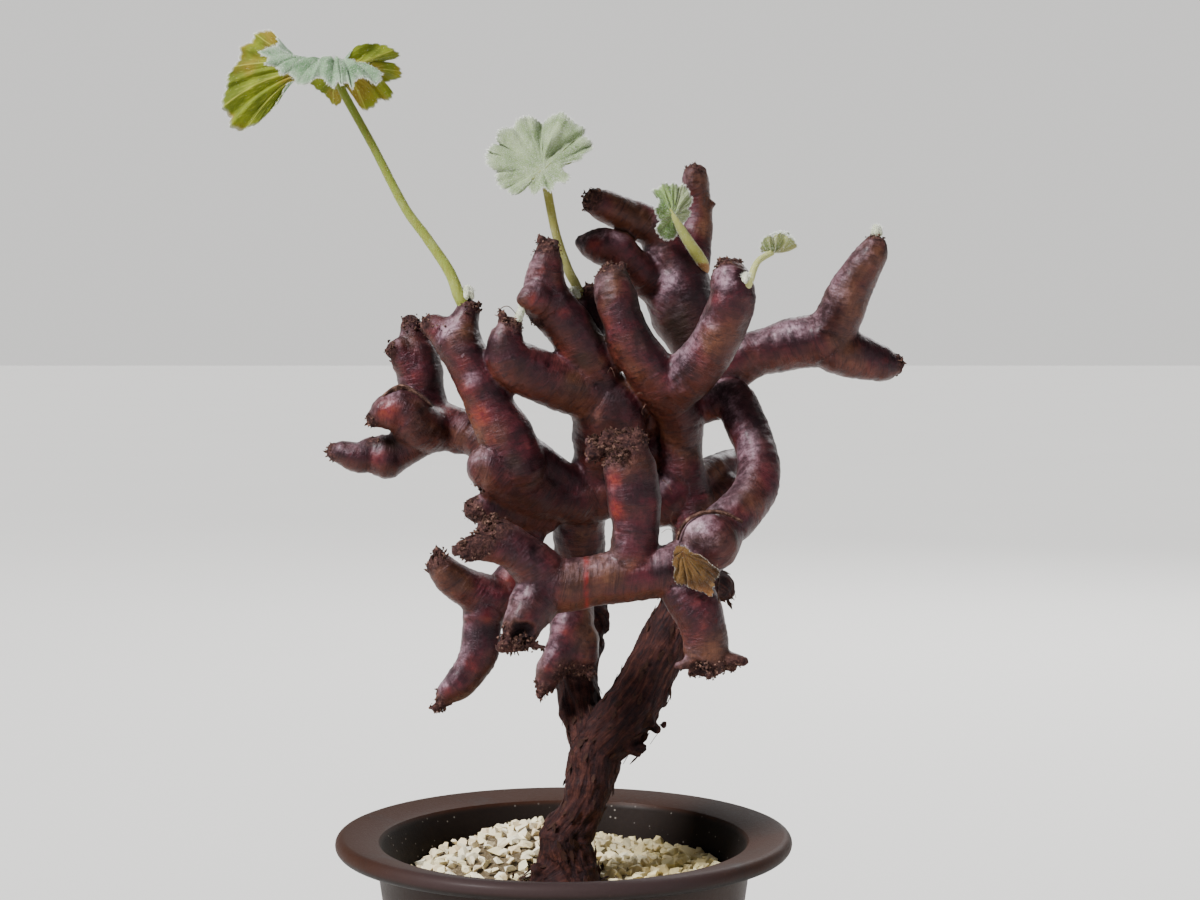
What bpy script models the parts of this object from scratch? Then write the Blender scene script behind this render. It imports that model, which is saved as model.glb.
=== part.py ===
# Potted pelargonium: a knotty, thick-stemmed shrub in a plastic pot topped with gravel.
# The origin is the middle of the pot's flat underside, +Z is up, and the plant faces -Y.
# Lengths in this file are millimetres; every mesh is scaled to metres as it is made.
import math
import random

import bmesh
import bpy
from mathutils import Matrix, Vector, noise
from mathutils.geometry import delaunay_2d_cdt

MM = 0.001
GAP = 0.3
FACET_SLACK = 0.15

# The pot: a tapered tub under a broad rounded lip.
POT_HEIGHT = 93.0
POT_STEPS = 40
LIP_RADIUS = 60.0
LIP_DEPTH = 4.6
LIP_INNER_RADIUS = 48.4
LIP_FALL = 1.9
BODY_TOP_RADIUS = 49.6
BASE_RADIUS = 37.0
BASE_CHAMFER = 1.2
INNER_TOP_RADIUS = 45.2
INNER_TOP = 83.0
INNER_BASE_RADIUS = 34.0
FLOOR_THICKNESS = 5.0
DRAIN_COUNT = 5
DRAIN_RADIUS = 2.5
DRAIN_RING = 24.0

# The soil stops below the gravel; the stem stands in one plain hole through both.
SOIL_TOP = 74.0
STEM_HOLE = Vector((-0.2, -8.5))
STEM_HOLE_RADIUS = 12.0
STEM_FOOT = 62.0

# Gravel stones are raised on a triangular lattice, one top to every three points.
GRAVEL_FOOT = SOIL_TOP + GAP
GRAVEL_EDGE = 79.4
GRAVEL_TILT = 0.04
GRAVEL_CROWN = 10.0
GRAVEL_CROWN_AT = Vector((-11.0, 20.0))
GRAVEL_CROWN_WIDTH = 22.0
GRAVEL_STEP = 2.35
STONE_RISE = 1.5
STONE_JITTER = 0.45

# Stations are (across, up, depth, radius): across and up are where the axis is sighted on
# the plane Y = 0 from the viewer's place, and depth is how far behind that plane it lies.
VIEWER = Vector((9.5, -608.8, 226.5))

LIMBS = {
    "trunk": [
        (1, 58, -8, 7.5), (1, 70, -8, 9.4), (0.4, 79, -8, 9.9), (0.7, 83.2, -8, 8.2),
        (0.1, 87.9, -8, 6.8), (-0.5, 91, -8, 6.4),
        (2.5, 95, -7, 6), (5.2, 100, -6, 5.8), (6.8, 105, -5, 6.4), (7.3, 110, -4, 6.9),
        (8.5, 114.5, -3, 7), (11, 118, -2.5, 7.5), (15.5, 123, -2, 7.3), (20, 129.5, -1, 7.3),
        (23.5, 137, 0, 7), (27.5, 145, 1.5, 6.8), (31.5, 153, 3, 6.6), (34.5, 160, 4, 6.4),
        (35.5, 167, 5, 6.4), (34.5, 175, 5, 6.4), (32.5, 183, 5, 6.2), (31, 190, 4, 5.9),
        (30.5, 195, 4, 5.8), (30, 203, 0, 6.3), (27, 209, -4, 7),
    ],
    "rear_left_stem": [
        (6, 117, -1, 5), (4.6, 126, 4, 5.6), (3.5, 135, 8, 5.6), (4.5, 145, 11, 5.8),
        (5.5, 155, 12, 6), (4.5, 165, 12, 6.5), (4, 173, 10, 7), (6, 182, 8, 7),
    ],
    "hub": [(6, 181, 4, 7), (14, 182, 4, 6.5), (19, 180, 6, 7), (26, 180.5, 5, 7), (30, 183, 4, 6)],
    "crown_stem": [
        (6, 182, 6, 7.5), (9, 190, 4, 7), (11, 197, 2, 9.2), (12, 203, 0, 10.2), (11, 208, 0, 9.2),
    ],
    "crown_bridge": [(13, 200, 8, 6), (28, 205, 4, 6)],
    "crown_rear_web": [(12, 187, 11, 6), (20, 191, 11, 6), (27, 197, 9, 6)],
    "crown_left": [
        (8, 208, -2, 7.5), (0, 210.5, -6, 7.2), (-8, 213.5, -10, 7), (-13.5, 217, -13, 6.4),
        (-15, 222, -14, 5), (-13.4, 226.4, -14, 3),
    ],
    "crown_middle": [
        (10, 212, -3, 6), (5.6, 219, -6, 6.6), (1.2, 226, -8, 6.3), (-4.2, 232.6, -9, 6.4),
        (-4.8, 239.6, -10, 5), (-4.2, 243.6, -10, 4), (-4, 246, -10, 3),
    ],
    "crown_middle_ear": [(-4, 232, -9, 5), (-8, 233, -14, 4.8), (-11.2, 232.6, -16, 1.8)],
    "crown_dark_stub": [(5, 219, 0, 4.5), (6.8, 225, 2, 4.4), (7.3, 230, 2, 4.2), (6.5, 234.5, 2, 3.5)],
    "fork_left": [
        (27, 209, -5, 7), (23, 214, -8, 6.5), (18.6, 220, -10, 6.2), (15.6, 227, -11, 5.5),
        (13.6, 233.6, -10, 5.6), (12.6, 238.2, -8, 4.8),
    ],
    "fork_right": [
        (27, 209, -5, 7), (33, 213.5, -9, 6.8), (38.5, 220, -13, 6.5), (42, 227, -16, 6.4),
        (44, 233.6, -18, 6.2), (43.2, 238.8, -17, 5.4),
    ],
    "rear_mass": [
        (30, 205, 8, 6.5), (36, 213, 12, 6.3), (35.5, 219, 14, 7.2), (34, 224.5, 15, 8.4),
        (31, 230.5, 16, 9.2), (29.5, 238, 17, 8.4), (27.5, 243, 17, 7), (25.5, 250, 16, 6),
        (20, 252.7, 14.5, 5), (12, 256.5, 12, 4.3), (7.4, 258.6, 10, 3.4),
    ],
    "rear_web": [(24, 232.6, 14, 4), (27, 236, 15, 5)],
    "rear_upright": [
        (33, 243, 18, 5.5), (34.9, 250, 20, 4), (35.2, 256, 21, 3.6), (34.3, 262.5, 21, 3.8),
        (34.3, 266.2, 20, 2.8),
    ],
    "rear_upright_stub": [(35.8, 257.6, 21, 2), (39.2, 257.6, 20, 1.1)],
    "rear_beak": [
        (27, 234, 16, 4.5), (22, 237.5, 14, 4.6), (18, 241.5, 11, 4.8), (14, 245.5, 9, 5.3),
        (10, 246.5, 8, 5), (6.5, 247.2, 8, 3.8), (4.2, 247.9, 8, 2),
    ],
    "right_arm": [
        (38, 214, 6, 6), (46, 217.5, 6, 6), (50, 218.7, 6, 6.2), (55, 220, 6, 6.5),
        (60, 221.2, 5.5, 6.9), (65, 222, 5, 7), (69, 222.5, 4, 7.2),
    ],
    "right_arm_up": [
        (69, 222.5, 4, 7), (71.5, 228, 3, 6.2), (74.5, 235, 2, 5.6), (78, 241, 1, 5),
        (80.4, 245.2, 0, 4.2), (81.3, 247.6, 0, 2.8),
    ],
    "right_arm_out": [
        (70, 219.5, 4, 6), (75, 218.5, 5, 6), (80, 217, 6, 5.2), (84, 215.8, 7, 4.6), (87, 216, 7, 2.8),
    ],
    "right_arm_knot": [(48, 214, 5, 4), (47, 211.5, 5, 2)],
    "front_loop": [
        (33, 205, 4, 5), (38, 205.5, 3, 4.6), (42, 206.5, 1, 4.8), (44.5, 207.5, 0, 5),
        (47.5, 200.5, -3, 5.8), (49.7, 195, -6, 5.4), (51, 189.5, -10, 5.7), (50.3, 183.5, -14, 6),
        (46.4, 177.8, -18, 6.2), (41, 173, -21, 6.4), (36.5, 169, -24, 7.2),
    ],
    "front_bulb": [(41, 172, -22, 6.6), (38.6, 169.8, -26, 7.8), (38, 169.2, -29.5, 8.2)],
    "front_branch": [
        (36, 166, -26, 7.2), (30, 162.5, -28, 7), (23, 161, -28, 6.9), (15, 160.3, -28, 7),
        (7, 159, -28, 6.8), (0, 158, -28, 7), (-5, 158.5, -28, 7.2),
    ],
    "front_stump": [
        (18, 162, -28, 6.5), (18.5, 168, -28, 6.2), (18.9, 175, -28, 6.4), (18.4, 180, -28, 7.1),
        (18, 185, -28, 7), (17.3, 189, -28, 7), (16.5, 192.5, -28, 6), (14.8, 195.5, -28, 4),
    ],
    "front_finger": [
        (-5, 160, -28, 7), (-9, 164.5, -29, 6.3), (-14, 168.5, -30, 5.5), (-17.6, 171.6, -31, 4.5),
    ],
    "front_finger_low": [(-14, 167, -31, 4.5), (-20, 168, -33, 4), (-24.6, 168, -34, 3.2)],
    "front_spur": [
        (-5, 158, -28, 7), (-8, 153, -30, 6.5), (-10.5, 148.5, -32, 5.5), (-11.5, 145.6, -33, 4.8),
    ],
    "front_stub": [
        (31, 161, -28, 7), (33, 155, -29, 7), (35.7, 150, -30, 6.4), (37.2, 145, -30, 6),
        (37.5, 140, -30, 5.8), (37.9, 136.6, -30, 4.6),
    ],
    "left_arm": [
        (6, 181, 4, 7), (-2, 181.5, 0, 7), (-10, 184, -5, 7.3), (-17, 187.5, -9, 7.3),
        (-20.5, 189, -11, 6.5), (-22, 188.8, -11, 5.3),
    ],
    "left_web": [(-11, 192, -6, 6.5), (-3, 187, -2, 5.5), (2, 184, 1, 5)],
    "left_upright": [
        (-12, 188, -8, 8.3), (-14.5, 196, -9, 7.5), (-18.5, 203.5, -9, 6.6), (-22, 211, -9, 6.2),
        (-25.5, 218, -9, 6), (-28, 223, -8, 6.3),
    ],
    "left_horn_outer": [(-29, 223, -8, 5), (-33, 225.3, -8, 3.6), (-35.6, 226.4, -8, 2.6)],
    "left_horn_inner": [(-27, 224, -8, 5.2), (-25, 229, -8, 3.5), (-24.4, 231, -8, 3)],
    "far_left_arm": [(-14, 190, 2, 5.5), (-22, 196.5, 5, 5.5), (-29, 199, 7, 6), (-35, 201, 8, 6.2)],
    "far_left_up": [
        (-35, 201, 8, 6), (-36.5, 207.5, 9, 5.8), (-37.5, 213.5, 9, 6.3), (-38.4, 219, 9, 5.4),
        (-39, 223.6, 9, 4), (-40.2, 227.4, 9, 2.2),
    ],
    "far_left_up_side": [(-40, 216, 8, 4.8), (-43.5, 220, 6, 3.2), (-45.2, 219.2, 5, 1.7)],
    "far_left_lobe": [
        (-33, 199, 6, 6.2), (-37.5, 199.5, 2, 6.6), (-42, 203.5, 0, 6.8), (-46.5, 203, -2, 5),
        (-50, 201.4, -3, 2.3),
    ],
    "far_left_low": [
        (-37, 197, 4, 5.2), (-43, 193.5, 4, 5), (-47.3, 191.8, 3, 6), (-50.3, 192.5, 3, 4.6),
        (-53.5, 191.5, 2, 4.4), (-58, 193, 2, 3.3), (-60.6, 193.3, 2, 2.2),
    ],
    "far_left_bump": [(-29, 196.5, 6, 4.4), (-27.6, 194.2, 6, 2.6)],
    "low_left_spur": [
        (-4, 176, 2, 4.5), (-10, 177, -2, 4), (-16, 178, -5, 3.9), (-21, 178, -7, 4.2),
        (-24.2, 178, -8, 3),
    ],
    "low_left_branch": [
        (-6, 178, 3, 5), (-9.5, 171, 2, 4.6), (-11.5, 163, 0, 5), (-16, 155.5, -3, 6),
        (-20, 153, -5, 6.3), (-21.5, 146.5, -6, 5.2), (-22.3, 140, -7, 5.2), (-27, 132.5, -8, 4.4),
        (-30.5, 129.5, -8, 3.4), (-32, 127.8, -8, 2.4),
    ],
    "low_left_arm": [
        (-18, 154.5, -5, 6), (-27, 158.3, -8, 4.9), (-31.5, 162, -10, 4.2), (-33, 164.2, -10, 3.3),
    ],
    "low_left_thorn": [(-32.8, 164, -10, 2.4), (-33, 167.6, -10, 1)],
    "middle_spur_left": [
        (3, 153, 2, 5), (2, 147, -2, 6), (0, 141.5, -4, 4.6), (-3.5, 136, -5, 3.9), (-4.9, 131.8, -5, 2.9),
    ],
    "middle_spur_right": [(2, 148, -1, 5), (4.5, 144, -2, 5), (4.7, 139, -3, 4.3), (4.5, 137, -3, 3.3)],
    "root_left": [(-3, 81, -11, 4.5), (-6.2, 79.6, -12.5, 3.4), (-8, 78.4, -13, 2.2)],
    "stem_knot": [(6, 152, 9, 4), (10, 149.5, 10, 2.6), (10.9, 146, 10, 1.6)],
    "trunk_knot": [(36, 160, 4, 4), (41, 158, 6, 4), (43, 155.6, 7, 2.8)],
    "middle_right_arm": [(33, 184, 6, 5), (39, 187.5, 12, 4.6), (44, 189.5, 20, 4.4), (47.5, 190, 27, 3.4)],
    "middle_right_web": [(34, 178, 7, 5.5), (39.6, 180.6, 9, 5.6), (43, 183.4, 12, 5.4)],
    "rear_arm": [(12, 183, 10, 6.5), (14, 186, 22, 6), (12, 192, 32, 5.5), (10, 197, 40, 4.5)],
    "rear_crown": [(29, 232, 18, 7), (31, 236, 28, 6), (33, 238, 36, 5), (31, 234, 43, 4)],
    "rear_left_arm": [(5, 180, 14, 6), (-3, 182, 24, 5.5), (-10, 185, 33, 5), (-14, 188, 40, 4)],
}

# Broken or dried tips: (across, up, depth), spread, size of a crumb, number of crumbs.
CRUMBS = [
    ((15.5, 196.5, -28), (5, 2, 4), 1.7, 16),
    ((8.5, 193, -28), (2.5, 3, 3), 1.5, 8),
    ((-19.5, 173.5, -31), (2.5, 2.5, 3), 1.6, 10),
    ((-26.5, 168.2, -34), (2, 2.5, 2), 1.5, 8),
    ((-12.5, 143.5, -33), (4, 2, 4), 1.5, 12),
    ((-14.4, 228, -14), (2, 1.6, 2), 1.2, 6),
    ((-4, 247.2, -10), (2.6, 1.4, 2.4), 1.4, 9),
    ((12.4, 240.6, -8), (3, 1.2, 3), 1.3, 7),
    ((43, 241.6, -17), (3.4, 1.4, 3.4), 1.4, 9),
    ((-5, 130.6, -5), (2, 1.6, 2), 1.3, 7),
    ((4.6, 135.6, -3), (2.6, 1.4, 2.5), 1.3, 7),
    ((-33.4, 126.4, -8), (2, 1.5, 2), 1.2, 5),
    ((46, 189.8, 30), (2, 2, 2), 1.3, 5),
    ((9.6, 199, 43), (2.5, 2.5, 2), 1.4, 7),
    ((31, 232.6, 46), (2.5, 2.5, 2), 1.4, 6),
    ((-15.4, 189.4, 43), (2, 2, 2), 1.4, 6),
    ((18.6, 116, -4), (2, 3, 4), 1.6, 12),
    ((24.4, 124, -3), (2.6, 4, 4), 1.6, 14),
    ((-6, 81.4, -12.5), (2, 2, 2), 1.4, 12),
]

# The flared, torn end of the front stub: flaps as (across, up, depth, radius) runs.
STUB_FLAPS = [
    [(40, 139.4, -31, 2.2), (44.5, 138.4, -32, 1.9), (48, 138, -32, 1.2)],
    [(42, 137.4, -29, 1.7), (45, 136.4, -29, 1.3)],
    [(36, 139, -34, 1.8), (37.6, 135.2, -35, 1.6), (38.2, 133.4, -35, 1)],
    [(34, 138.4, -32, 2), (31.4, 137, -32, 1.5), (29.2, 136.6, -32, 1)],
    [(38, 137.4, -26.4, 1.8), (38.4, 134.6, -25.4, 1.2)],
    [(34.6, 136.4, -28, 1.8), (33.4, 134.6, -28, 1.2)],
]

WOOD_VOXEL = 1.1
WOOD_FACES = 6500
TUBE_STEP = 1.8
TIP_ROUNDING = 0.6
BARK_TOP = 172.0
BARK_FOOT = 80.0
BARK_ROUGHNESS = 0.75
SKIN_ROUGHNESS = 0.28

BLADE_THICKNESS = 0.7
BLADE_RINGS = 4
BLADE_RIDGE = 0.25
SOCKET_GAP = 0.3

# A leaf has a stalk (stations with radius), the hub that its veins leave, and a rim of
# (across, up, depth, arch), where arch lifts the blade half way between hub and rim.
LEAVES = {
    "leaf_tall": {
        "stalk": [
            (-25.4, 230.4, -8, 1.4), (-26.4, 232.2, -8.6, 1.4), (-27.3, 234, -9, 1.35),
            (-29.8, 240.2, -9, 1.2), (-35.4, 248.6, -9, 1.1), (-41.4, 257, -9, 1),
            (-49.3, 272.3, -9, 0.9), (-54, 280.8, -8.6, 0.9), (-57.6, 287.5, -8, 0.9),
            (-58.8, 291.3, -7.2, 0.9),
        ],
        "buds": [(-25, 234.6, -8.8, 2)],
        "hub": (-59, 291.6, -7),
        "rim": [
            (-53.4, 292.4, -9, 1), (-55.8, 294, -7.4, 0.5), (-54, 298, -6, 0), (-50.4, 298.9, -5.4, 0),
            (-46.6, 298.7, -4.6, 0), (-43.8, 297.4, -3.6, 0), (-42.3, 296, -2.8, 0.5), (-43.6, 294.9, -2, 1),
            (-46.8, 294.3, -1.4, 1), (-43.4, 293.6, -0.6, 1), (-42, 291.8, 0.4, 1), (-42.2, 290, 1.4, 1.5),
            (-44.6, 289.3, 2.2, 2), (-46.2, 288.4, 3, 2.5), (-44.4, 286.6, 2, 3), (-44.6, 284.8, 2, 3),
            (-46, 284.2, 3, 3), (-47.6, 284.7, 3, 3), (-48.8, 282.9, 3, 3), (-51.2, 281.8, 3, 3),
            (-52.8, 282.6, 2, 2.5), (-54.2, 284.8, 1, 1.5), (-56.4, 287.2, -1, 0.5),
            (-57.9, 283.4, 2, 0.5), (-59.6, 283.4, 2, 1), (-61.6, 285.6, 1, 1),
            (-63.6, 286.8, 0, 1), (-66, 288.6, -1, 1), (-68.8, 289.4, -3, 1.5),
            (-71.6, 288.4, -3, 3), (-73.2, 285.4, -2, 4), (-74.2, 283.2, -1, 4.5), (-75.6, 282, 0, 5),
            (-77.2, 280.2, 1, 5), (-79.8, 278, 1, 5), (-81.8, 277.3, 2, 5), (-83.6, 276.4, 2, 5),
            (-86.4, 277.5, 2, 4.5), (-86.6, 279.8, 3, 4), (-88.3, 282.4, 3, 3.5), (-88.3, 285.4, 3, 3),
            (-87, 288.4, 3, 2.5), (-87.2, 290.4, 3, 2), (-85.2, 292.8, 3, 1.5), (-84, 295, 3, 1),
            (-83.4, 298, 3, 0), (-80.8, 299.5, 3, -1), (-79.6, 301.4, 3, -1.5), (-77.6, 302.2, 2, -2.4),
            (-75.6, 302.2, 1, -3), (-74.4, 300.2, -2, -3.4), (-74.2, 298.2, -6, -2),
            (-76, 297.9, -10, 0), (-78.6, 296.8, -13, 1), (-76.4, 295.2, -14.6, 2), (-77, 293.4, -16, 2.5),
            (-74.4, 293, -16, 3), (-73, 290.9, -18.4, 3.3), (-71, 291.2, -18, 3.7), (-68.7, 288.6, -20, 4.2),
            (-65.8, 288.6, -20.4, 4.4), (-63.3, 290.5, -19, 4.6), (-59.9, 287.8, -21, 4.7),
            (-58.5, 289.2, -20, 4.7), (-57.5, 288.1, -21, 4.7), (-56.2, 289.3, -20, 4.6),
            (-54.7, 287.6, -21, 4.4), (-53.4, 290, -19, 4), (-50.8, 289.6, -19, 3.5), (-48.3, 288.6, -18, 3),
            (-47, 290.8, -15, 2.4), (-48.8, 291.8, -12, 1.8),
        ],
    },
    "leaf_crown": {
        "stalk": [
            (5.4, 232.6, 1.6, 1.15), (3.9, 235, -0.6, 1.1), (2.9, 237.2, -1, 1.05), (1, 241, -1, 1),
            (-2, 250, -1.4, 0.95), (-4.2, 261, -2.6, 0.95), (-5.2, 265.2, -3.6, 0.95),
            (-5.6, 267.2, -5, 0.85),
        ],
        "buds": [(2.9, 235, -1.2, 1.7)],
        "hub": (-5.5, 266.3, -4.4),
        "rim": [
            (7.6, 272, -1, 0), (7.3, 272.8, 1.4, 0), (7.2, 273.7, -0.4, 0), (6, 274.9, -0.4, 0),
            (4.6, 275.5, 2.6, 0.6), (5.9, 276.1, 1.6, 0), (5.2, 277.3, 1.6, 0), (3.3, 278.1, 2, 0),
            (1.6, 279, 2.6, 0), (0.5, 280.2, 2.6, 0), (-0.5, 281.1, 3, 0), (-3, 280.4, 2.6, 0),
            (-4.6, 279.5, 3.6, 0), (-5.7, 278.9, 5, 0.6), (-6.7, 279.6, 3.6, 0), (-8.2, 280.2, 2.8, 0),
            (-9.8, 280.2, 3, 0), (-11.4, 279.6, 1.8, 0), (-12.5, 278.9, 1.8, 0), (-12.9, 277.4, 2.2, 0),
            (-14.4, 277.1, 0.8, 0), (-16, 276.9, 0.4, 0), (-17.1, 275.9, 0, 0), (-17.5, 274.4, 0, 0),
            (-17.3, 273.3, 1.6, 0.4), (-18.6, 272.7, -0.6, 0), (-19.6, 271.7, -1, 0), (-19.6, 270.9, 1, 0.4),
            (-20.2, 270.1, -1.6, 0), (-19.8, 269.2, -2.4, 0), (-20.1, 268, -3.2, 0), (-19, 266.9, -3.8, 0),
            (-17.3, 266, -3, 0), (-17.5, 264.6, -4.2, 0), (-17.2, 263, -4.8, 0), (-16, 261.9, -5.6, 0),
            (-14.6, 261.6, -4.6, 0), (-14.2, 260.4, -6.6, 0), (-12.6, 259.9, -7, 0), (-11.4, 261, -5.6, 0),
            (-10.3, 261.8, -5, 0), (-9.2, 262.4, -4.8, 0), (-8.6, 260.9, -6.6, 0), (-7.7, 260.1, -7, 0),
            (-6.4, 260.8, -7, 0), (-5, 261.9, -7.4, 0), (-3.8, 261, -8, 0), (-2.6, 261.6, -8, 0),
            (-2.1, 262.9, -7.6, 0), (-0.9, 263, -8, 0), (0.3, 262.8, -8, 0), (1.4, 263.8, -7.2, 0),
            (1.5, 265.1, -5.8, 0), (-0.1, 266.4, -4.4, 0), (1, 268, -3.6, 0), (2.8, 268.5, -3.2, 0),
            (4.7, 268.9, -2.6, 0), (5.3, 270.3, -2, 0), (6.6, 271.1, -1.6, 0),
        ],
    },
    "leaf_folded": {
        "stalk": [
            (36.6, 240.6, 15.5, 1.25), (36.3, 242, 12.6, 1.25), (34.6, 244.8, 9.2, 1.25),
            (32.6, 247.6, 7.8, 1.15), (30.8, 250.6, 6.9, 1.05), (29.2, 253.4, 6.3, 0.95),
            (28.4, 255, 6, 0.8),
        ],
        "buds": [],
        "hub": (28.6, 254.4, 6),
        "rim": [
            (31.2, 252.9, 8.6, 0), (33, 254.6, 8.8, 0), (32.6, 256.4, 8, 0), (33.4, 258.2, 9, 0),
            (33, 259.8, 8, 0), (31.9, 261.4, 9.2, 0), (31.2, 262.6, 7.6, 0), (29.9, 262.1, 9, 0),
            (28.7, 263, 6.6, 0), (27.4, 262.3, 8, 0), (26, 263, 6, 0), (24.8, 261.6, 7.2, 0),
            (23.1, 261, 4.6, 0), (24.2, 259.3, 5.6, 0), (24.8, 257.6, 4.2, 0), (24, 256.2, 3.4, 0),
            (24.4, 254.3, 4.2, 0), (25.4, 253.2, 5.8, 0), (24.2, 251.8, 6.4, 0), (24.6, 249.9, 7.4, 0),
            (25.9, 248.8, 8, 0), (27.6, 248.4, 8.2, 0), (29.3, 249.3, 8, 0), (29.8, 251, 7.8, 0),
        ],
    },
    "leaf_small": {
        "stalk": [
            (46.6, 234.9, -18.6, 0.85), (48, 236.6, -22, 0.85), (48.8, 238.4, -22.2, 0.8),
            (49.6, 240.8, -21, 0.75), (50.7, 242.8, -19.4, 0.7), (52.6, 244.1, -17.6, 0.7),
            (54.2, 245, -16.4, 0.7),
        ],
        "buds": [(47.6, 238.4, -22.4, 1.5)],
        "hub": (54.4, 245.2, -16),
        "rim": [
            (51.6, 245.2, -15.6, 0), (51.3, 246.6, -17, -0.4), (51.8, 248.2, -18.2, -0.8),
            (53.4, 249.5, -19.2, -1), (54.4, 249, -18.6, -1), (55.6, 250, -19.8, -1),
            (57, 250, -19.4, -1), (58.4, 249.2, -19.2, -1), (59.8, 248.3, -18.2, -0.8),
            (60.6, 246.8, -17, -0.4), (60.4, 246.2, -15.8, 0), (60.3, 247.6, -14, -0.6),
            (58.9, 249.6, -12.8, -1), (57.2, 250.4, -12.2, -1), (55.4, 250.2, -12.4, -1),
            (53.4, 249.2, -12.8, -1), (51.9, 247.4, -14, -0.6),
        ],
    },
    "leaf_dried": {
        "stalk": [
            (31, 164.8, -31, 0.8), (31, 166, -34.6, 0.8), (31, 166.8, -36.8, 0.8),
            (31.6, 165.8, -38.4, 0.8), (32.4, 164.4, -39, 0.6),
        ],
        "buds": [],
        "hub": (31, 166.8, -37.8),
        "rim": [
            (30, 168.4, -36.8, 0), (31.8, 168.2, -37.8, 0), (33.4, 166.4, -39, 0), (35.6, 165.5, -39.6, 0),
            (37.6, 164.3, -40, 0), (39.6, 163.2, -40, 0), (40.7, 161.6, -39.4, 0), (40.6, 160.4, -39, 0),
            (39.6, 159.4, -38, 0), (39.4, 157.8, -38.4, 0), (38.7, 156.8, -37.6, 0), (39.2, 155.9, -38, 0),
            (38.3, 154.9, -37.8, 0), (37, 156, -37.4, 0), (35, 156.5, -38.2, 0), (33.4, 157, -37.4, 0),
            (32.4, 158, -38.2, 0), (30.6, 158.1, -37.4, 0), (29.3, 158.8, -38.2, 0), (28.8, 160.6, -37.6, 0),
            (29.4, 162, -38.4, 0), (28.5, 163.6, -37.6, 0), (28.8, 165.4, -37.4, 0), (29.2, 167, -36.6, 0),
        ],
    },
}

# Buds that stand alone on a tip: a short stalk and scales as (across, up, depth, size).
BUDS = {
    "bud_left": {
        "stalk": [(-12.6, 226.2, -14, 1.2), (-11.6, 228.4, -14, 1.2), (-10.8, 230.2, -14, 1.1)],
        "buds": [(-10.4, 231.4, -14, 1.7)],
    },
    "bud_right": {
        "stalk": [(81, 246.6, 0, 1.1), (81.4, 248.6, 0, 1.1), (81.5, 250.2, 0, 1)],
        "buds": [(81.4, 250.8, 0, 1.7)],
    },
}

MATERIALS = {
    "pot": ((0.035, 0.024, 0.018), 0.5),
    "soil": ((0.05, 0.034, 0.022), 0.95),
    "gravel": ((0.72, 0.66, 0.56), 0.9),
    "trunk_and_branches": ((0.13, 0.055, 0.045), 0.45),
    "leaf_tall": ((0.42, 0.5, 0.3), 0.7),
    "leaf_crown": ((0.46, 0.53, 0.38), 0.75),
    "leaf_folded": ((0.42, 0.47, 0.27), 0.7),
    "leaf_small": ((0.5, 0.54, 0.36), 0.7),
    "leaf_dried": ((0.4, 0.26, 0.12), 0.85),
    "bud_left": ((0.6, 0.62, 0.45), 0.8),
    "bud_right": ((0.6, 0.62, 0.45), 0.8),
}


def clear_scene():
    for leftover in list(bpy.data.objects):
        bpy.data.objects.remove(leftover, do_unlink=True)


def sighted(across, up, depth):
    # Returns the point in millimetres and how much larger things are drawn out to there.
    reach = 1 - depth / VIEWER.y
    return VIEWER + (Vector((across, 0, up)) - VIEWER) * reach, reach


def material_for(name):
    colour, roughness = MATERIALS[name]
    material = bpy.data.materials.new(name)
    material.use_nodes = True
    shader = material.node_tree.nodes["Principled BSDF"]
    shader.inputs["Base Color"].default_value = (*colour, 1)
    shader.inputs["Roughness"].default_value = roughness
    shader.inputs["Metallic"].default_value = 0
    return material


def add_object(name, bm):
    mesh = bpy.data.meshes.new(name)
    bm.to_mesh(mesh)
    bm.free()
    made = bpy.data.objects.new(name, mesh)
    bpy.context.collection.objects.link(made)
    return made


def settle(made):
    # Keeps the mesh that the modifiers give, and drops the modifiers.
    graph = bpy.context.evaluated_depsgraph_get()
    mesh = bpy.data.meshes.new_from_object(made.evaluated_get(graph), depsgraph=graph)
    made.modifiers.clear()
    made.data = mesh


def combine(target, others, operation, solver="EXACT"):
    for other in others:
        other.display_type = "WIRE"
        other.hide_render = True
        cut = target.modifiers.new(operation.lower(), "BOOLEAN")
        cut.operation = operation
        cut.solver = solver
        cut.object = other
        settle(target)
        bpy.data.objects.remove(other, do_unlink=True)


def finish(made, smooth_angle=40):
    made.data.materials.clear()
    made.data.materials.append(material_for(made.name))
    made.data.shade_smooth()
    made.data.set_sharp_from_angle(angle=math.radians(smooth_angle))


def keep_largest(bm):
    # Drops every shell but the one with most vertices, such as a pocket sealed inside.
    unseen = set(bm.verts)
    shells = []
    while unseen:
        stack = [unseen.pop()]
        shell = list(stack)
        while stack:
            for edge in stack.pop().link_edges:
                for vert in edge.verts:
                    if vert in unseen:
                        unseen.remove(vert)
                        stack.append(vert)
                        shell.append(vert)
        shells.append(shell)
    shells.sort(key=len)
    for shell in shells[:-1]:
        bmesh.ops.delete(bm, geom=shell, context="VERTS")


def drop_scraps(made):
    bm = bmesh.new()
    bm.from_mesh(made.data)
    keep_largest(bm)
    bm.to_mesh(made.data)
    bm.free()


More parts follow.
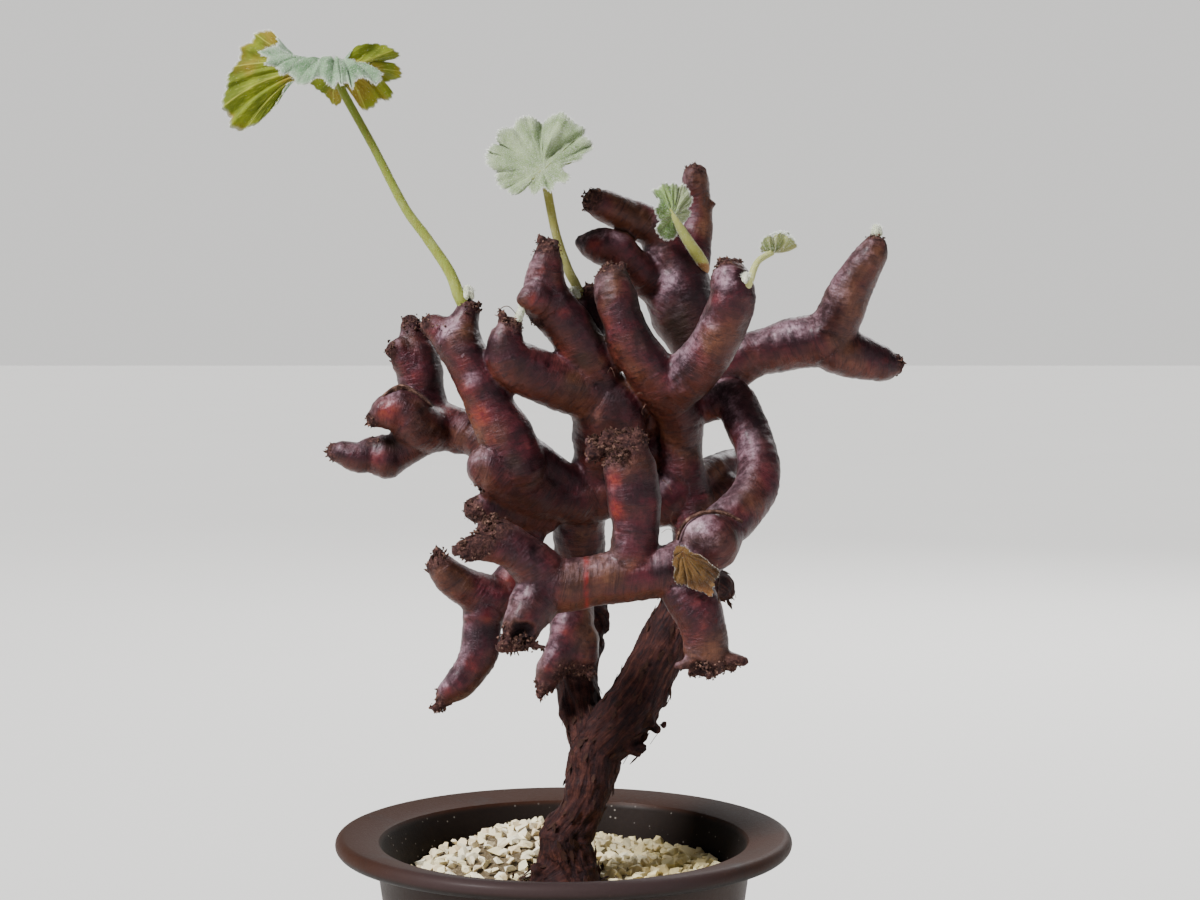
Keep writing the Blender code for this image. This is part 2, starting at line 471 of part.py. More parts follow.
def turned(name, profile, steps=POT_STEPS):
    # Turns a closed (radius, height) outline about Z; points at radius 0 stay on the axis.
    bm = bmesh.new()
    verts = [bm.verts.new((radius * MM, 0, height * MM)) for radius, height in profile]
    edges = [bm.edges.new((verts[i - 1], verts[i])) for i in range(len(verts))]
    on_axis = [e for e in edges if all(abs(v.co.x) < 1e-9 for v in e.verts)]
    for edge in on_axis:
        bm.edges.remove(edge)
        edges.remove(edge)
    bmesh.ops.spin(bm, geom=verts + edges, axis=(0, 0, 1), cent=(0, 0, 0), steps=steps,
                   angle=math.tau, use_merge=True)
    bmesh.ops.remove_doubles(bm, verts=bm.verts, dist=1e-6)
    bmesh.ops.recalc_face_normals(bm, faces=bm.faces)
    return add_object(name, bm)


def cylinder(radius, foot, top, at, sides=24):
    bm = bmesh.new()
    middle = Matrix.Translation((at.x * MM, at.y * MM, (foot + top) / 2 * MM))
    bmesh.ops.create_cone(bm, cap_ends=True, segments=sides, radius1=radius * MM, radius2=radius * MM,
                          depth=(top - foot) * MM, matrix=middle)
    return add_object("cylinder", bm)


def inner_radius(height):
    # The pot's inner wall: straight from the floor to the throat, then wider to the lip.
    if height <= INNER_TOP:
        share = (height - FLOOR_THICKNESS) / (INNER_TOP - FLOOR_THICKNESS)
        return INNER_BASE_RADIUS + share * (INNER_TOP_RADIUS - INNER_BASE_RADIUS)
    share = (height - INNER_TOP) / (POT_HEIGHT - 3.6 - INNER_TOP)
    return INNER_TOP_RADIUS + share * (LIP_INNER_RADIUS - 0.8 - INNER_TOP_RADIUS)


def make_pot():
    lip_round = LIP_DEPTH / 2
    lip_middle = POT_HEIGHT - lip_round
    rounded = [
        (LIP_RADIUS - lip_round + lip_round * math.cos(a), lip_middle + lip_round * math.sin(a))
        for a in (math.radians(d) for d in (-90, -60, -30, 0, 30, 60, 90))
    ]
    outline = [
        (0, 0), (BASE_RADIUS - BASE_CHAMFER, 0), (BASE_RADIUS, BASE_CHAMFER),
        (BODY_TOP_RADIUS - 0.6, POT_HEIGHT - LIP_DEPTH - 3), (BODY_TOP_RADIUS, POT_HEIGHT - LIP_DEPTH - 1.2),
        (BODY_TOP_RADIUS + 1.6, POT_HEIGHT - LIP_DEPTH),
        *rounded,
        (LIP_INNER_RADIUS + 0.5, POT_HEIGHT - LIP_FALL + 0.1),
        (LIP_INNER_RADIUS, POT_HEIGHT - LIP_FALL - 0.4),
        (LIP_INNER_RADIUS - 0.8, POT_HEIGHT - 3.6), (INNER_TOP_RADIUS, INNER_TOP),
        (INNER_BASE_RADIUS, FLOOR_THICKNESS), (0, FLOOR_THICKNESS),
    ]
    pot = turned("pot", outline)
    drains = []
    for i in range(DRAIN_COUNT):
        angle = math.tau * i / DRAIN_COUNT
        place = Vector((math.cos(angle), math.sin(angle))) * DRAIN_RING
        drains.append(cylinder(DRAIN_RADIUS, -2, FLOOR_THICKNESS + 2, place, sides=12))
    combine(pot, drains, "DIFFERENCE")
    finish(pot)


def make_soil():
    foot = FLOOR_THICKNESS + GAP
    outline = [
        (0, foot), (inner_radius(foot) - GAP, foot), (inner_radius(SOIL_TOP) - GAP, SOIL_TOP), (0, SOIL_TOP),
    ]
    soil = turned("soil", outline)
    hole = cylinder(STEM_HOLE_RADIUS, STEM_FOOT - GAP, SOIL_TOP + 5, STEM_HOLE)
    combine(soil, [hole], "DIFFERENCE")
    finish(soil)


def gravel_height(place):
    offset = (place - GRAVEL_CROWN_AT).length / GRAVEL_CROWN_WIDTH
    swell = noise.noise(Vector((place.x, place.y, 0)) / 11)
    slope = GRAVEL_EDGE + GRAVEL_TILT * place.x
    return slope + GRAVEL_CROWN * math.exp(-offset * offset) + 0.7 * swell


def make_gravel():
    rng = random.Random(11)
    rim_top = inner_radius(GRAVEL_EDGE - 2.6) - GAP - FACET_SLACK
    rim_foot = inner_radius(GRAVEL_FOOT) - GAP - FACET_SLACK
    points = []
    tops = set()
    row_step = GRAVEL_STEP * math.sqrt(3) / 2
    reach = int(rim_top / row_step) + 1
    for row in range(-reach, reach + 1):
        for column in range(-reach - 3, reach + 4):
            place = Vector(((column + (row % 2) / 2) * GRAVEL_STEP, row * row_step))
            clear_of_rim = place.length < rim_top - GRAVEL_STEP * 0.55
            clear_of_stem = (place - STEM_HOLE).length > STEM_HOLE_RADIUS + GRAVEL_STEP * 0.55
            if not (clear_of_rim and clear_of_stem):
                continue
            step_across = column - (row - row % 2) // 2
            if (step_across - row) % 3 == 0:
                tops.add(len(points))
            shift = Vector((rng.uniform(-1, 1), rng.uniform(-1, 1))) * STONE_JITTER
            points.append(place + shift)
    lattice_count = len(points)
    rim_steps = int(math.tau * rim_top / GRAVEL_STEP)
    stem_steps = int(math.tau * STEM_HOLE_RADIUS / GRAVEL_STEP)
    for i in range(rim_steps):
        angle = math.tau * i / rim_steps
        points.append(Vector((math.cos(angle), math.sin(angle))) * rim_top)
    for i in range(stem_steps):
        angle = math.tau * i / stem_steps
        points.append(STEM_HOLE + Vector((math.cos(angle), math.sin(angle))) * STEM_HOLE_RADIUS)
    rim = range(lattice_count, lattice_count + rim_steps)
    stem = range(lattice_count + rim_steps, len(points))
    edges = [(rim[i - 1], rim[i]) for i in range(rim_steps)]
    edges += [(stem[i - 1], stem[i]) for i in range(stem_steps)]
    flat, _, faces, _, _, _ = delaunay_2d_cdt(points, edges, [], 1, 0.001)
    bm = bmesh.new()
    verts = []
    for i, place in enumerate(flat):
        height = gravel_height(place)
        if i in tops:
            height += STONE_RISE * rng.uniform(0.7, 1.2)
        elif i < lattice_count:
            height += rng.uniform(-0.25, 0.25)
        verts.append(bm.verts.new((place.x * MM, place.y * MM, height * MM)))
    for face in faces:
        middle = sum((flat[i] for i in face), Vector((0, 0))) / len(face)
        if (middle - STEM_HOLE).length > STEM_HOLE_RADIUS * 0.99:
            bm.faces.new([verts[i] for i in face])
    loops = []
    for ring, centre, radius in ((rim, Vector((0, 0)), rim_foot), (stem, STEM_HOLE, STEM_HOLE_RADIUS)):
        loop = []
        for i in ring:
            outward = (flat[i] - centre).normalized() * radius + centre
            loop.append(bm.verts.new((outward.x * MM, outward.y * MM, GRAVEL_FOOT * MM)))
        for k in range(len(loop)):
            bm.faces.new((verts[ring[k - 1]], verts[ring[k]], loop[k], loop[k - 1]))
        loops.append(loop)
    foot_points = [Vector((v.co.x, v.co.y)) / MM for loop in loops for v in loop]
    foot_verts = [v for loop in loops for v in loop]
    count = len(loops[0])
    foot_edges = [((i - 1) % count, i) for i in range(count)]
    foot_edges += [(count + (i - 1) % stem_steps, count + i) for i in range(stem_steps)]
    _, _, foot_faces, _, _, _ = delaunay_2d_cdt(foot_points, foot_edges, [], 1, 0.001)
    for face in foot_faces:
        middle = sum((foot_points[i] for i in face), Vector((0, 0))) / len(face)
        if (middle - STEM_HOLE).length > STEM_HOLE_RADIUS * 0.99:
            bm.faces.new([foot_verts[i] for i in face])
    bmesh.ops.recalc_face_normals(bm, faces=bm.faces)
    bmesh.ops.triangulate(bm, faces=bm.faces)
    finish(add_object("gravel", bm), smooth_angle=20)


def smooth_route(stations, step=TUBE_STEP):
    # A Catmull-Rom curve through the stations, with rounded ends, as (point, radius) pairs.
    knots = []
    for across, up, depth, radius in stations:
        place, reach = sighted(across, up, depth)
        knots.append((place, radius * reach))
    route = []
    for i in range(len(knots) - 1):
        before = knots[max(i - 1, 0)]
        start, end = knots[i], knots[i + 1]
        after = knots[min(i + 2, len(knots) - 1)]
        pieces = max(1, round((end[0] - start[0]).length / step))
        for k in range(pieces):
            t = k / pieces
            place = 0.5 * (
                2 * start[0] + (end[0] - before[0]) * t
                + (2 * before[0] - 5 * start[0] + 4 * end[0] - after[0]) * t * t
                + (3 * start[0] - before[0] - 3 * end[0] + after[0]) * t * t * t
            )
            ease = t * t * (3 - 2 * t)
            route.append((place, start[1] + (end[1] - start[1]) * ease))
    route.append(knots[-1])
    return route


def with_round_ends(route):
    def cap(end, inner):
        outward = (end[0] - inner[0]).normalized()
        angles = [math.radians(a) for a in (32, 60, 82)]
        return [
            (end[0] + outward * end[1] * TIP_ROUNDING * math.sin(a), end[1] * math.cos(a)) for a in angles
        ]
    return cap(route[0], route[1])[::-1] + route + cap(route[-1], route[-2])


def tube(name, route, bevel_resolution):
    curve = bpy.data.curves.new(name, "CURVE")
    curve.dimensions = "3D"
    curve.bevel_depth = MM
    curve.bevel_resolution = bevel_resolution
    curve.render_resolution_u = 0
    curve.use_fill_caps = True
    spline = curve.splines.new("POLY")
    spline.points.add(len(route) - 1)
    for point, (place, radius) in zip(spline.points, route):
        point.co = (*(place * MM), 1)
        point.radius = radius
    made = bpy.data.objects.new(name, curve)
    bpy.context.collection.objects.link(made)
    graph = bpy.context.evaluated_depsgraph_get()
    mesh = bpy.data.meshes.new_from_object(made.evaluated_get(graph), depsgraph=graph)
    bpy.data.objects.remove(made, do_unlink=True)
    return mesh


def add_crumbs(bm, rng, place, spread, size, count):
    centre, _ = sighted(*place)
    for _ in range(count):
        offset = Vector([rng.uniform(-1, 1) * reach for reach in (spread[0], spread[2], spread[1])])
        stretch = Vector([size * rng.uniform(0.55, 1.25) for _ in range(3)])
        turn = Matrix.Rotation(rng.uniform(0, math.tau), 4, Vector((rng.random(), rng.random(), 1)))
        matrix = Matrix.Translation((centre + offset) * MM) @ turn @ Matrix.Diagonal((*stretch, 1))
        bmesh.ops.create_icosphere(bm, subdivisions=1, radius=MM, matrix=matrix)


def bark_noise(place):
    # Rough, flaky bark low on the plant and a nearly smooth, faintly knotty skin above.
    low = min(max((BARK_TOP - place.z) / 14, 0), 1)
    behind = min(max((place.y + 16) / 6, 0), 1)
    above_gravel = min(max((place.z - BARK_FOOT) / 6, 0.3), 1)
    bark = low * behind
    size = BARK_ROUGHNESS * bark + SKIN_ROUGHNESS * (1 - bark)
    coarse = noise.noise(place / 5.5)
    fine = noise.noise(Vector((place.x, place.y, place.z * 0.6)) / 2.4)
    return size * above_gravel * (coarse + 0.7 * fine)


def make_wood():
    rng = random.Random(5)
    bm = bmesh.new()
    for name, stations in LIMBS.items():
        mesh = tube(name, with_round_ends(smooth_route(stations)), bevel_resolution=6)
        bm.from_mesh(mesh)
    for stations in STUB_FLAPS:
        bm.from_mesh(tube("flap", with_round_ends(smooth_route(stations)), bevel_resolution=2))
    for place, spread, size, count in CRUMBS:
        add_crumbs(bm, rng, place, spread, size, count)
    wood = add_object("trunk_and_branches", bm)
    remesh = wood.modifiers.new("remesh", "REMESH")
    remesh.mode = "VOXEL"
    remesh.voxel_size = WOOD_VOXEL * MM
    soften = wood.modifiers.new("soften", "SMOOTH")
    soften.factor = 0.5
    soften.iterations = 2
    settle(wood)
    bm = bmesh.new()
    bm.from_mesh(wood.data)
    keep_largest(bm)
    bm.normal_update()
    moves = [vert.normal * bark_noise(vert.co / MM) * MM for vert in bm.verts]
    for vert, move in zip(bm.verts, moves):
        vert.co += move
    bm.to_mesh(wood.data)
    bm.free()
    triangles = wood.modifiers.new("triangles", "TRIANGULATE")
    triangles.quad_method = "FIXED"
    settle(wood)
    thin = wood.modifiers.new("thin", "DECIMATE")
    thin.ratio = WOOD_FACES / len(wood.data.polygons)
    settle(wood)
    foot = cylinder(STEM_HOLE_RADIUS + 6, STEM_FOOT - 30, STEM_FOOT, STEM_HOLE)
    combine(wood, [foot], "DIFFERENCE")
    drop_scraps(wood)
    return wood


def bud_mesh(stations, grow=0):
    # Three pointed scales that lean together, each a stretched ball.
    bm = bmesh.new()
    across, up, depth, size = stations
    centre, _ = sighted(across, up, depth)
    for i in range(3):
        angle = math.tau * i / 3 + 0.6
        lean = Matrix.Rotation(0.35, 4, Vector((-math.sin(angle), math.cos(angle), 0)))
        offset = Vector((math.cos(angle), math.sin(angle), 0)) * size * 0.35
        stretch = (size * 0.62 + grow, size * 0.62 + grow, size * 1.15 + grow, 1)
        matrix = Matrix.Translation((centre + offset) * MM) @ lean @ Matrix.Diagonal(stretch)
        bmesh.ops.create_icosphere(bm, subdivisions=1, radius=MM, matrix=matrix)
    return bm


def stalk_pieces(parts, grow=0):
    # The stalk and its buds as separate closed objects, made thicker all round by grow.
    route = [(place, radius + grow) for place, radius in smooth_route(parts["stalk"], step=3.2)]
    foot, above = route[0][0], route[1][0]
    route[0] = (foot - (above - foot).normalized() * grow, route[0][1])
    bm = bmesh.new()
    bm.from_mesh(tube("stalk", route, bevel_resolution=2))
    bmesh.ops.remove_doubles(bm, verts=bm.verts, dist=1e-7)
    pieces = [add_object("stalk", bm)]
    for stations in parts["buds"]:
        scales = bud_mesh(stations, grow)
        whole = add_object("scales", scales)
        remesh = whole.modifiers.new("remesh", "REMESH")
        remesh.mode = "VOXEL"
        remesh.voxel_size = 0.4 * MM
        thin = whole.modifiers.new("thin", "DECIMATE")
        thin.ratio = 0.12
        settle(whole)
        pieces.append(whole)
    return pieces


def make_blade(name, hub, rim):
    # A sheet from the hub to the rim in rings, folded a little at each second rim station.
    bm = bmesh.new()
    centre, _ = sighted(*hub)
    rings = []
    middle = bm.verts.new(centre * MM)
    for ring in range(1, BLADE_RINGS + 1):
        share = ring / BLADE_RINGS
        verts = []
        for i, (across, up, depth, arch) in enumerate(rim):
            edge, _ = sighted(across, up, depth)
            place = centre + (edge - centre) * share
            place.z += 4 * share * (1 - share) * arch
            place.y += BLADE_RIDGE * share * (-1 if i % 2 else 1)
            verts.append(bm.verts.new(place * MM))
        rings.append(verts)
    count = len(rim)
    for i in range(count):
        bm.faces.new((middle, rings[0][i - 1], rings[0][i]))
    for inner, outer in zip(rings, rings[1:]):
        for i in range(count):
            bm.faces.new((inner[i - 1], outer[i - 1], outer[i]))
            bm.faces.new((inner[i - 1], outer[i], inner[i]))
    bmesh.ops.recalc_face_normals(bm, faces=bm.faces)
    blade = add_object(name, bm)
    wall = blade.modifiers.new("wall", "SOLIDIFY")
    wall.thickness = BLADE_THICKNESS * MM
    wall.offset = 0
    settle(blade)
    return blade


def make_leaf(name, parts, wood):
    blade = make_blade(name, parts["hub"], parts["rim"])
    combine(blade, stalk_pieces(parts), "UNION", solver="MANIFOLD")
    drop_scraps(blade)
    finish(blade)
    combine(wood, stalk_pieces(parts, grow=SOCKET_GAP), "DIFFERENCE")


def make_bud(name, parts, wood):
    stalk, *scales = stalk_pieces(parts)
    stalk.name = name
    combine(stalk, scales, "UNION", solver="MANIFOLD")
    drop_scraps(stalk)
    finish(stalk)
    combine(wood, stalk_pieces(parts, grow=SOCKET_GAP), "DIFFERENCE")


def main():
    clear_scene()
    make_pot()
    make_soil()
    make_gravel()
    wood = make_wood()
    for name, parts in LEAVES.items():
        make_leaf(name, parts, wood)
    for name, parts in BUDS.items():
        make_bud(name, parts, wood)
    finish(wood)


main()
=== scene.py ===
# Potted pelargonium: the looks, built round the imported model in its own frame.
# Tables are in millimetres; every mesh is made in metres.
import random
from math import cos, exp, pi, radians, sin, tau

import bmesh
import bpy
from mathutils import Matrix, Vector, kdtree, noise


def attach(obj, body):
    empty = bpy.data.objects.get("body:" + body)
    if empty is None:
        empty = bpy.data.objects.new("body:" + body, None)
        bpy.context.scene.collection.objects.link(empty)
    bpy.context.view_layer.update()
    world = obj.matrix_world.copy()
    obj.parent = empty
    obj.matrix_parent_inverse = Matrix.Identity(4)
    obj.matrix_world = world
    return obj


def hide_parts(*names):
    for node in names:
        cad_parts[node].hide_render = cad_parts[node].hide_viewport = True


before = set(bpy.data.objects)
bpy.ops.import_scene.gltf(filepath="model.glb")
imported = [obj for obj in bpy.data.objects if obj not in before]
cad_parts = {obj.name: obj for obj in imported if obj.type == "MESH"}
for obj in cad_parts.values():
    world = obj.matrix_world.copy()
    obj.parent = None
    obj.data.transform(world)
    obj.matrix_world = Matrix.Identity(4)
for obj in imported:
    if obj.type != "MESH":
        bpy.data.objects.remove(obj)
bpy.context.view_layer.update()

mm = 0.001
gap = 0.3

# Plant stations are (across, up, depth, radius): across and up are sighted on the plane Y = 0
# from the viewer's place, and depth is how far behind that plane the point lies.
viewer = Vector((9.5, -608.8, 226.5))


# Shader maths as plain sums.


class Wire:
    def __init__(self, graph, socket):
        self.graph = graph
        self.socket = socket

    def maths(self, operation, first, second=None):
        return self.graph.node("ShaderNodeMath", {"operation": operation}, first, second)

    def __abs__(self):
        return self.maths("ABSOLUTE", self)

    def __add__(self, other):
        return self.maths("ADD", self, other)

    def __sub__(self, other):
        return self.maths("SUBTRACT", self, other)

    def __mul__(self, other):
        return self.maths("MULTIPLY", self, other)

    def __pow__(self, other):
        return self.maths("POWER", self, other)

    def __radd__(self, other):
        return self.maths("ADD", other, self)

    def __rsub__(self, other):
        return self.maths("SUBTRACT", other, self)

    def __rmul__(self, other):
        return self.maths("MULTIPLY", other, self)

    def most(self, other):
        return self.maths("MAXIMUM", self, other)

    def within(self, low, high, first=0, last=1):
        # First below low, last above high, and smooth between.
        settings = {"interpolation_type": "SMOOTHSTEP"}
        return self.graph.node("ShaderNodeMapRange", settings, self, low, high, first, last)


class Graph:
    # The nodes of a material or of the world, in front of its shader.
    def __init__(self, owner, shaderName):
        owner.use_nodes = True
        self.owner = owner
        self.tree = owner.node_tree
        self.shader = self.tree.nodes[shaderName]

    def feed(self, socket, value):
        if isinstance(value, Wire):
            self.tree.links.new(value.socket, socket)
        elif value is not None:
            isColour = socket.type == "RGBA" and len(value) == 3
            socket.default_value = (*value, 1) if isColour else value

    def node(self, kind, settings, *values, output=0, **named):
        made = self.tree.nodes.new(kind)
        for key, value in (settings or {}).items():
            if key == "stops":
                ramp = made.color_ramp
                while len(ramp.elements) < len(value):
                    ramp.elements.new(0.5)
                for element, (position, colour) in zip(ramp.elements, value):
                    element.position = position
                    element.color = (*colour, 1)
            else:
                setattr(made, key, value)
        for socket, value in zip(made.inputs, values):
            self.feed(socket, value)
        for key, value in named.items():
            self.feed(made.inputs[key], value)
        return Wire(self, made.outputs[output])

    def parts(self, vector):
        split = self.node("ShaderNodeSeparateXYZ", None, vector).socket.node
        return [Wire(self, output) for output in split.outputs]

    def done(self, **values):
        for socketName, value in values.items():
            self.feed(self.shader.inputs[socketName.replace("_", " ")], value)
        return self.owner


class Finish(Graph):
    def __init__(self, name, **uniform):
        super().__init__(bpy.data.materials.new(name), "Principled BSDF")
        self.done(**uniform)
        self.place = self.node("ShaderNodeTexCoord", None, output="Object")

    def attribute(self, name, output=2):
        return self.node("ShaderNodeAttribute", {"attribute_name": name}, output=output)

    def noise(self, where, scale, detail, roughness):
        return self.node("ShaderNodeTexNoise", None, Vector=where, Scale=scale, Detail=detail,
                         Roughness=roughness)

    def grain(self, size, detail=2, roughness=0.5, stretch=None):
        # Noise whose patches are about size millimetres across; stretch makes them longer.
        where = self.node("ShaderNodeMapping", None, self.place, Scale=stretch) if stretch else self.place
        return self.noise(where, 1 / (size * mm), detail, roughness)

    def cells(self, size):
        return self.node("ShaderNodeTexVoronoi", None, Vector=self.place, Scale=1 / (size * mm))

    def mix(self, factor, first, second):
        # The colours go to the node's seventh and eighth sockets.
        between = [None] * 5
        return self.node("ShaderNodeMix", {"data_type": "RGBA"}, factor, *between, first, second, output=2)

    def ramp(self, factor, stops):
        return self.node("ShaderNodeValToRGB", {"stops": stops}, factor)

    def bump(self, height, depth, over=None):
        # Depth is in millimetres for a height that runs from 0 to 1.
        return self.node("ShaderNodeBump", None, Strength=1, Distance=depth * mm, Height=height,
                         Normal=over)


# Camera, floor and light.

studio = {
    "lens": 70, "sensor": 36, "pitch": 86.9, "nearest": 0.01,
    "floorSize": 24, "floorColour": (0.8, 0.79, 0.77), "floorShade": 0.97, "floorPatch": 260,
    "keyFrom": Vector((-0.92, -0.68, 1.15)), "keyAngle": 14, "keyStrength": 6.6,
    # Round lamps: name, place, width, power.
    "lights": [
        ("fillLight", (1.2, -0.9, 0.5), 0.8, 2.5),
        ("rearLight", (0.45, 1.2, 0.95), 0.8, 12),
    ],
    "aim": Vector((0.005, 0, 0.19)),
    # How strong the air is at the horizon and in the dome, between which heights it changes,
    # and what share is left on the viewer's side, between which depths.
    "airColour": (0.95, 0.94, 0.92), "horizon": 1, "dome": 0.18, "band": (0.13, 0.28),
    "frontShare": 0.24, "frontBand": (-0.5, 0.5),
}


def addLight(name, kind, place, strength, **settings):
    bpy.ops.object.light_add(type=kind, location=place)
    light = bpy.context.object
    light.name = name
    light.data.energy = strength
    for key, value in settings.items():
        setattr(light.data, key, value)
    light.rotation_euler = (studio["aim"] - Vector(place)).to_track_quat("-Z", "Y").to_euler()


def buildAir():
    # Bright air near the horizon for the background, a dimmer dome over it, and a dimmer front.
    air = Graph(bpy.data.worlds.new("studio air"), "Background")
    _, deep, up = air.parts(air.node("ShaderNodeTexCoord", None, output="Generated"))
    level = abs(up).within(*studio["band"], studio["horizon"], studio["dome"])
    front = deep.within(*studio["frontBand"], studio["frontShare"], 1)
    bpy.context.scene.world = air.done(Color=studio["airColour"], Strength=level * front)


def buildStudio():
    bpy.ops.object.camera_add(location=viewer * mm, rotation=(radians(studio["pitch"]), 0, 0))
    camera = bpy.context.object
    camera.data.lens = studio["lens"]
    camera.data.sensor_width = studio["sensor"]
    camera.data.clip_start = studio["nearest"]
    bpy.context.scene.camera = camera

    bpy.ops.mesh.primitive_plane_add(size=studio["floorSize"])
    floor = bpy.context.object
    floor.name = "studio_floor"
    paper = Finish("studio paper", Roughness=0.9)
    pale = studio["floorColour"]
    shaded = tuple(channel * studio["floorShade"] for channel in pale)
    tone = paper.mix(paper.grain(studio["floorPatch"]), pale, shaded)
    floor.data.materials.append(paper.done(Base_Color=tone))

    keyPlace = studio["aim"] + studio["keyFrom"]
    addLight("keyLight", "SUN", keyPlace, studio["keyStrength"], angle=radians(studio["keyAngle"]))
    for name, place, size, power in studio["lights"]:
        addLight(name, "AREA", place, power, shape="DISK", size=size)
    buildAir()
    print("studio: done")


# Shared modelling helpers.


def choose(*pieces):
    # Deselects everything, selects these pieces and makes the first one active.
    if bpy.context.object and bpy.context.object.mode != "OBJECT":
        bpy.ops.object.mode_set(mode="OBJECT")
    bpy.ops.object.select_all(action="DESELECT")
    for piece in pieces:
        piece.select_set(True)
    bpy.context.view_layer.objects.active = pieces[0]


def addPiece(name, data):
    piece = bpy.data.objects.new(name, data)
    bpy.context.collection.objects.link(piece)
    return piece


def shellPiece(name, bm):
    mesh = bpy.data.meshes.new(name)
    bm.to_mesh(mesh)
    bm.free()
    return addPiece(name, mesh)


def listedPiece(name, verts, faces):
    mesh = bpy.data.meshes.new(name)
    mesh.from_pydata(verts, [], faces)
    return addPiece(name, mesh)


def turnOutwards(piece):
    choose(piece)
    bpy.ops.object.mode_set(mode="EDIT")
    bpy.ops.mesh.select_all(action="SELECT")
    bpy.ops.mesh.normals_make_consistent(inside=False)
    bpy.ops.object.mode_set(mode="OBJECT")


def applyModifier(piece, kind, **settings):
    choose(piece)
    modifier = piece.modifiers.new(kind.lower(), kind)
    for key, value in settings.items():
        setattr(modifier, key, value)
    bpy.ops.object.modifier_apply(modifier=modifier.name)


def dress(piece, material, slotName, *nodes, smooth=True):
    choose(piece)
    if smooth:
        bpy.ops.object.shade_smooth()
    else:
        bpy.ops.object.shade_flat()
    piece.data.materials.clear()
    piece.data.materials.append(material)
    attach(piece, "root")
    if nodes:
        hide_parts(*nodes)
    return piece


def paint(piece, name, values, kind="FLOAT", key="value"):
    attribute = piece.data.attributes.new(name, kind, "POINT")
    attribute.data.foreach_set(key, values)


def step(low, high, value):
    share = min(max((value - low) / (high - low), 0), 1)
    return share * share * (3 - 2 * share)


def scatter(rng, spread):
    return Vector([rng.gauss(0, spread) for _ in range(3)])


def offsetWithin(rng, spread, share):
    # Spread is (across, up, depth), as the stations are.
    return Vector([rng.uniform(-share, share) * spread[axis] for axis in (0, 2, 1)])


def sighted(across, up, depth):
    # The point in millimetres, and how much larger things are drawn out there.
    reach = 1 - depth / viewer.y
    return viewer + (Vector((across, 0, up)) - viewer) * reach, reach


def placed(rows):
    # Rows of (across, up, depth) and more, with the point itself in front.
    return [(sighted(*place)[0], *rest) for place, *rest in rows]


def onCurve(before, start, end, after, t):
    # A Catmull-Rom curve, t of the way from start to end.
    return 0.5 * (
        2 * start + (end - before) * t
        + (2 * before - 5 * start + 4 * end - after) * t * t
        + (3 * start - before - 3 * end + after) * t * t * t
    )


def route(stations, spacing=1.8):
    # A curve through sighted stations, as (point, radius) pairs.
    knots = []
    for across, up, depth, radius in stations:
        place, reach = sighted(across, up, depth)
        knots.append((place, radius * reach))
    line = []
    for i in range(len(knots) - 1):
        before = knots[max(i - 1, 0)][0]
        (start, startRadius), (end, endRadius) = knots[i], knots[i + 1]
        after = knots[min(i + 2, len(knots) - 1)][0]
        pieces = max(1, round((end - start).length / spacing))
        for k in range(pieces):
            t = k / pieces
            ease = t * t * (3 - 2 * t)
            radius = startRadius + (endRadius - startRadius) * ease
            line.append((onCurve(before, start, end, after, t), radius))
    line.append(knots[-1])
    return line


def roundEnds(line):
    # Closes both ends with a low dome, in rings at these angles.
    angles = [radians(a) for a in (32, 60, 82)]
    bulge = 0.6

    def cap(end, inner):
        outward = (end[0] - inner[0]).normalized()
        return [(end[0] + outward * end[1] * bulge * sin(a), end[1] * cos(a)) for a in angles]
    return cap(line[0], line[1])[::-1] + line + cap(line[-1], line[-2])


def tube(name, line, sides=24):
    # A round rod along the line, from a curve turned into a mesh.
    curve = bpy.data.curves.new(name, "CURVE")
    curve.dimensions = "3D"
    curve.bevel_depth = mm
    curve.bevel_resolution = sides // 4 - 2
    curve.use_fill_caps = True
    spline = curve.splines.new("POLY")
    spline.points.add(len(line) - 1)
    for point, (place, radius) in zip(spline.points, line):
        point.co = (*(place * mm), 1)
        point.radius = radius
    choose(addPiece(name, curve))
    bpy.ops.object.convert(target="MESH")
    return bpy.context.object


def joined(name, pieces):
    choose(*pieces)
    bpy.ops.object.join()
    made = bpy.context.object
    made.name = name
    return made


def smoothNoise(place, size):
    return noise.noise(place / size)


def ridged(place, size):
    return 1 - 2 * abs(noise.noise(place / size))


# Stem.

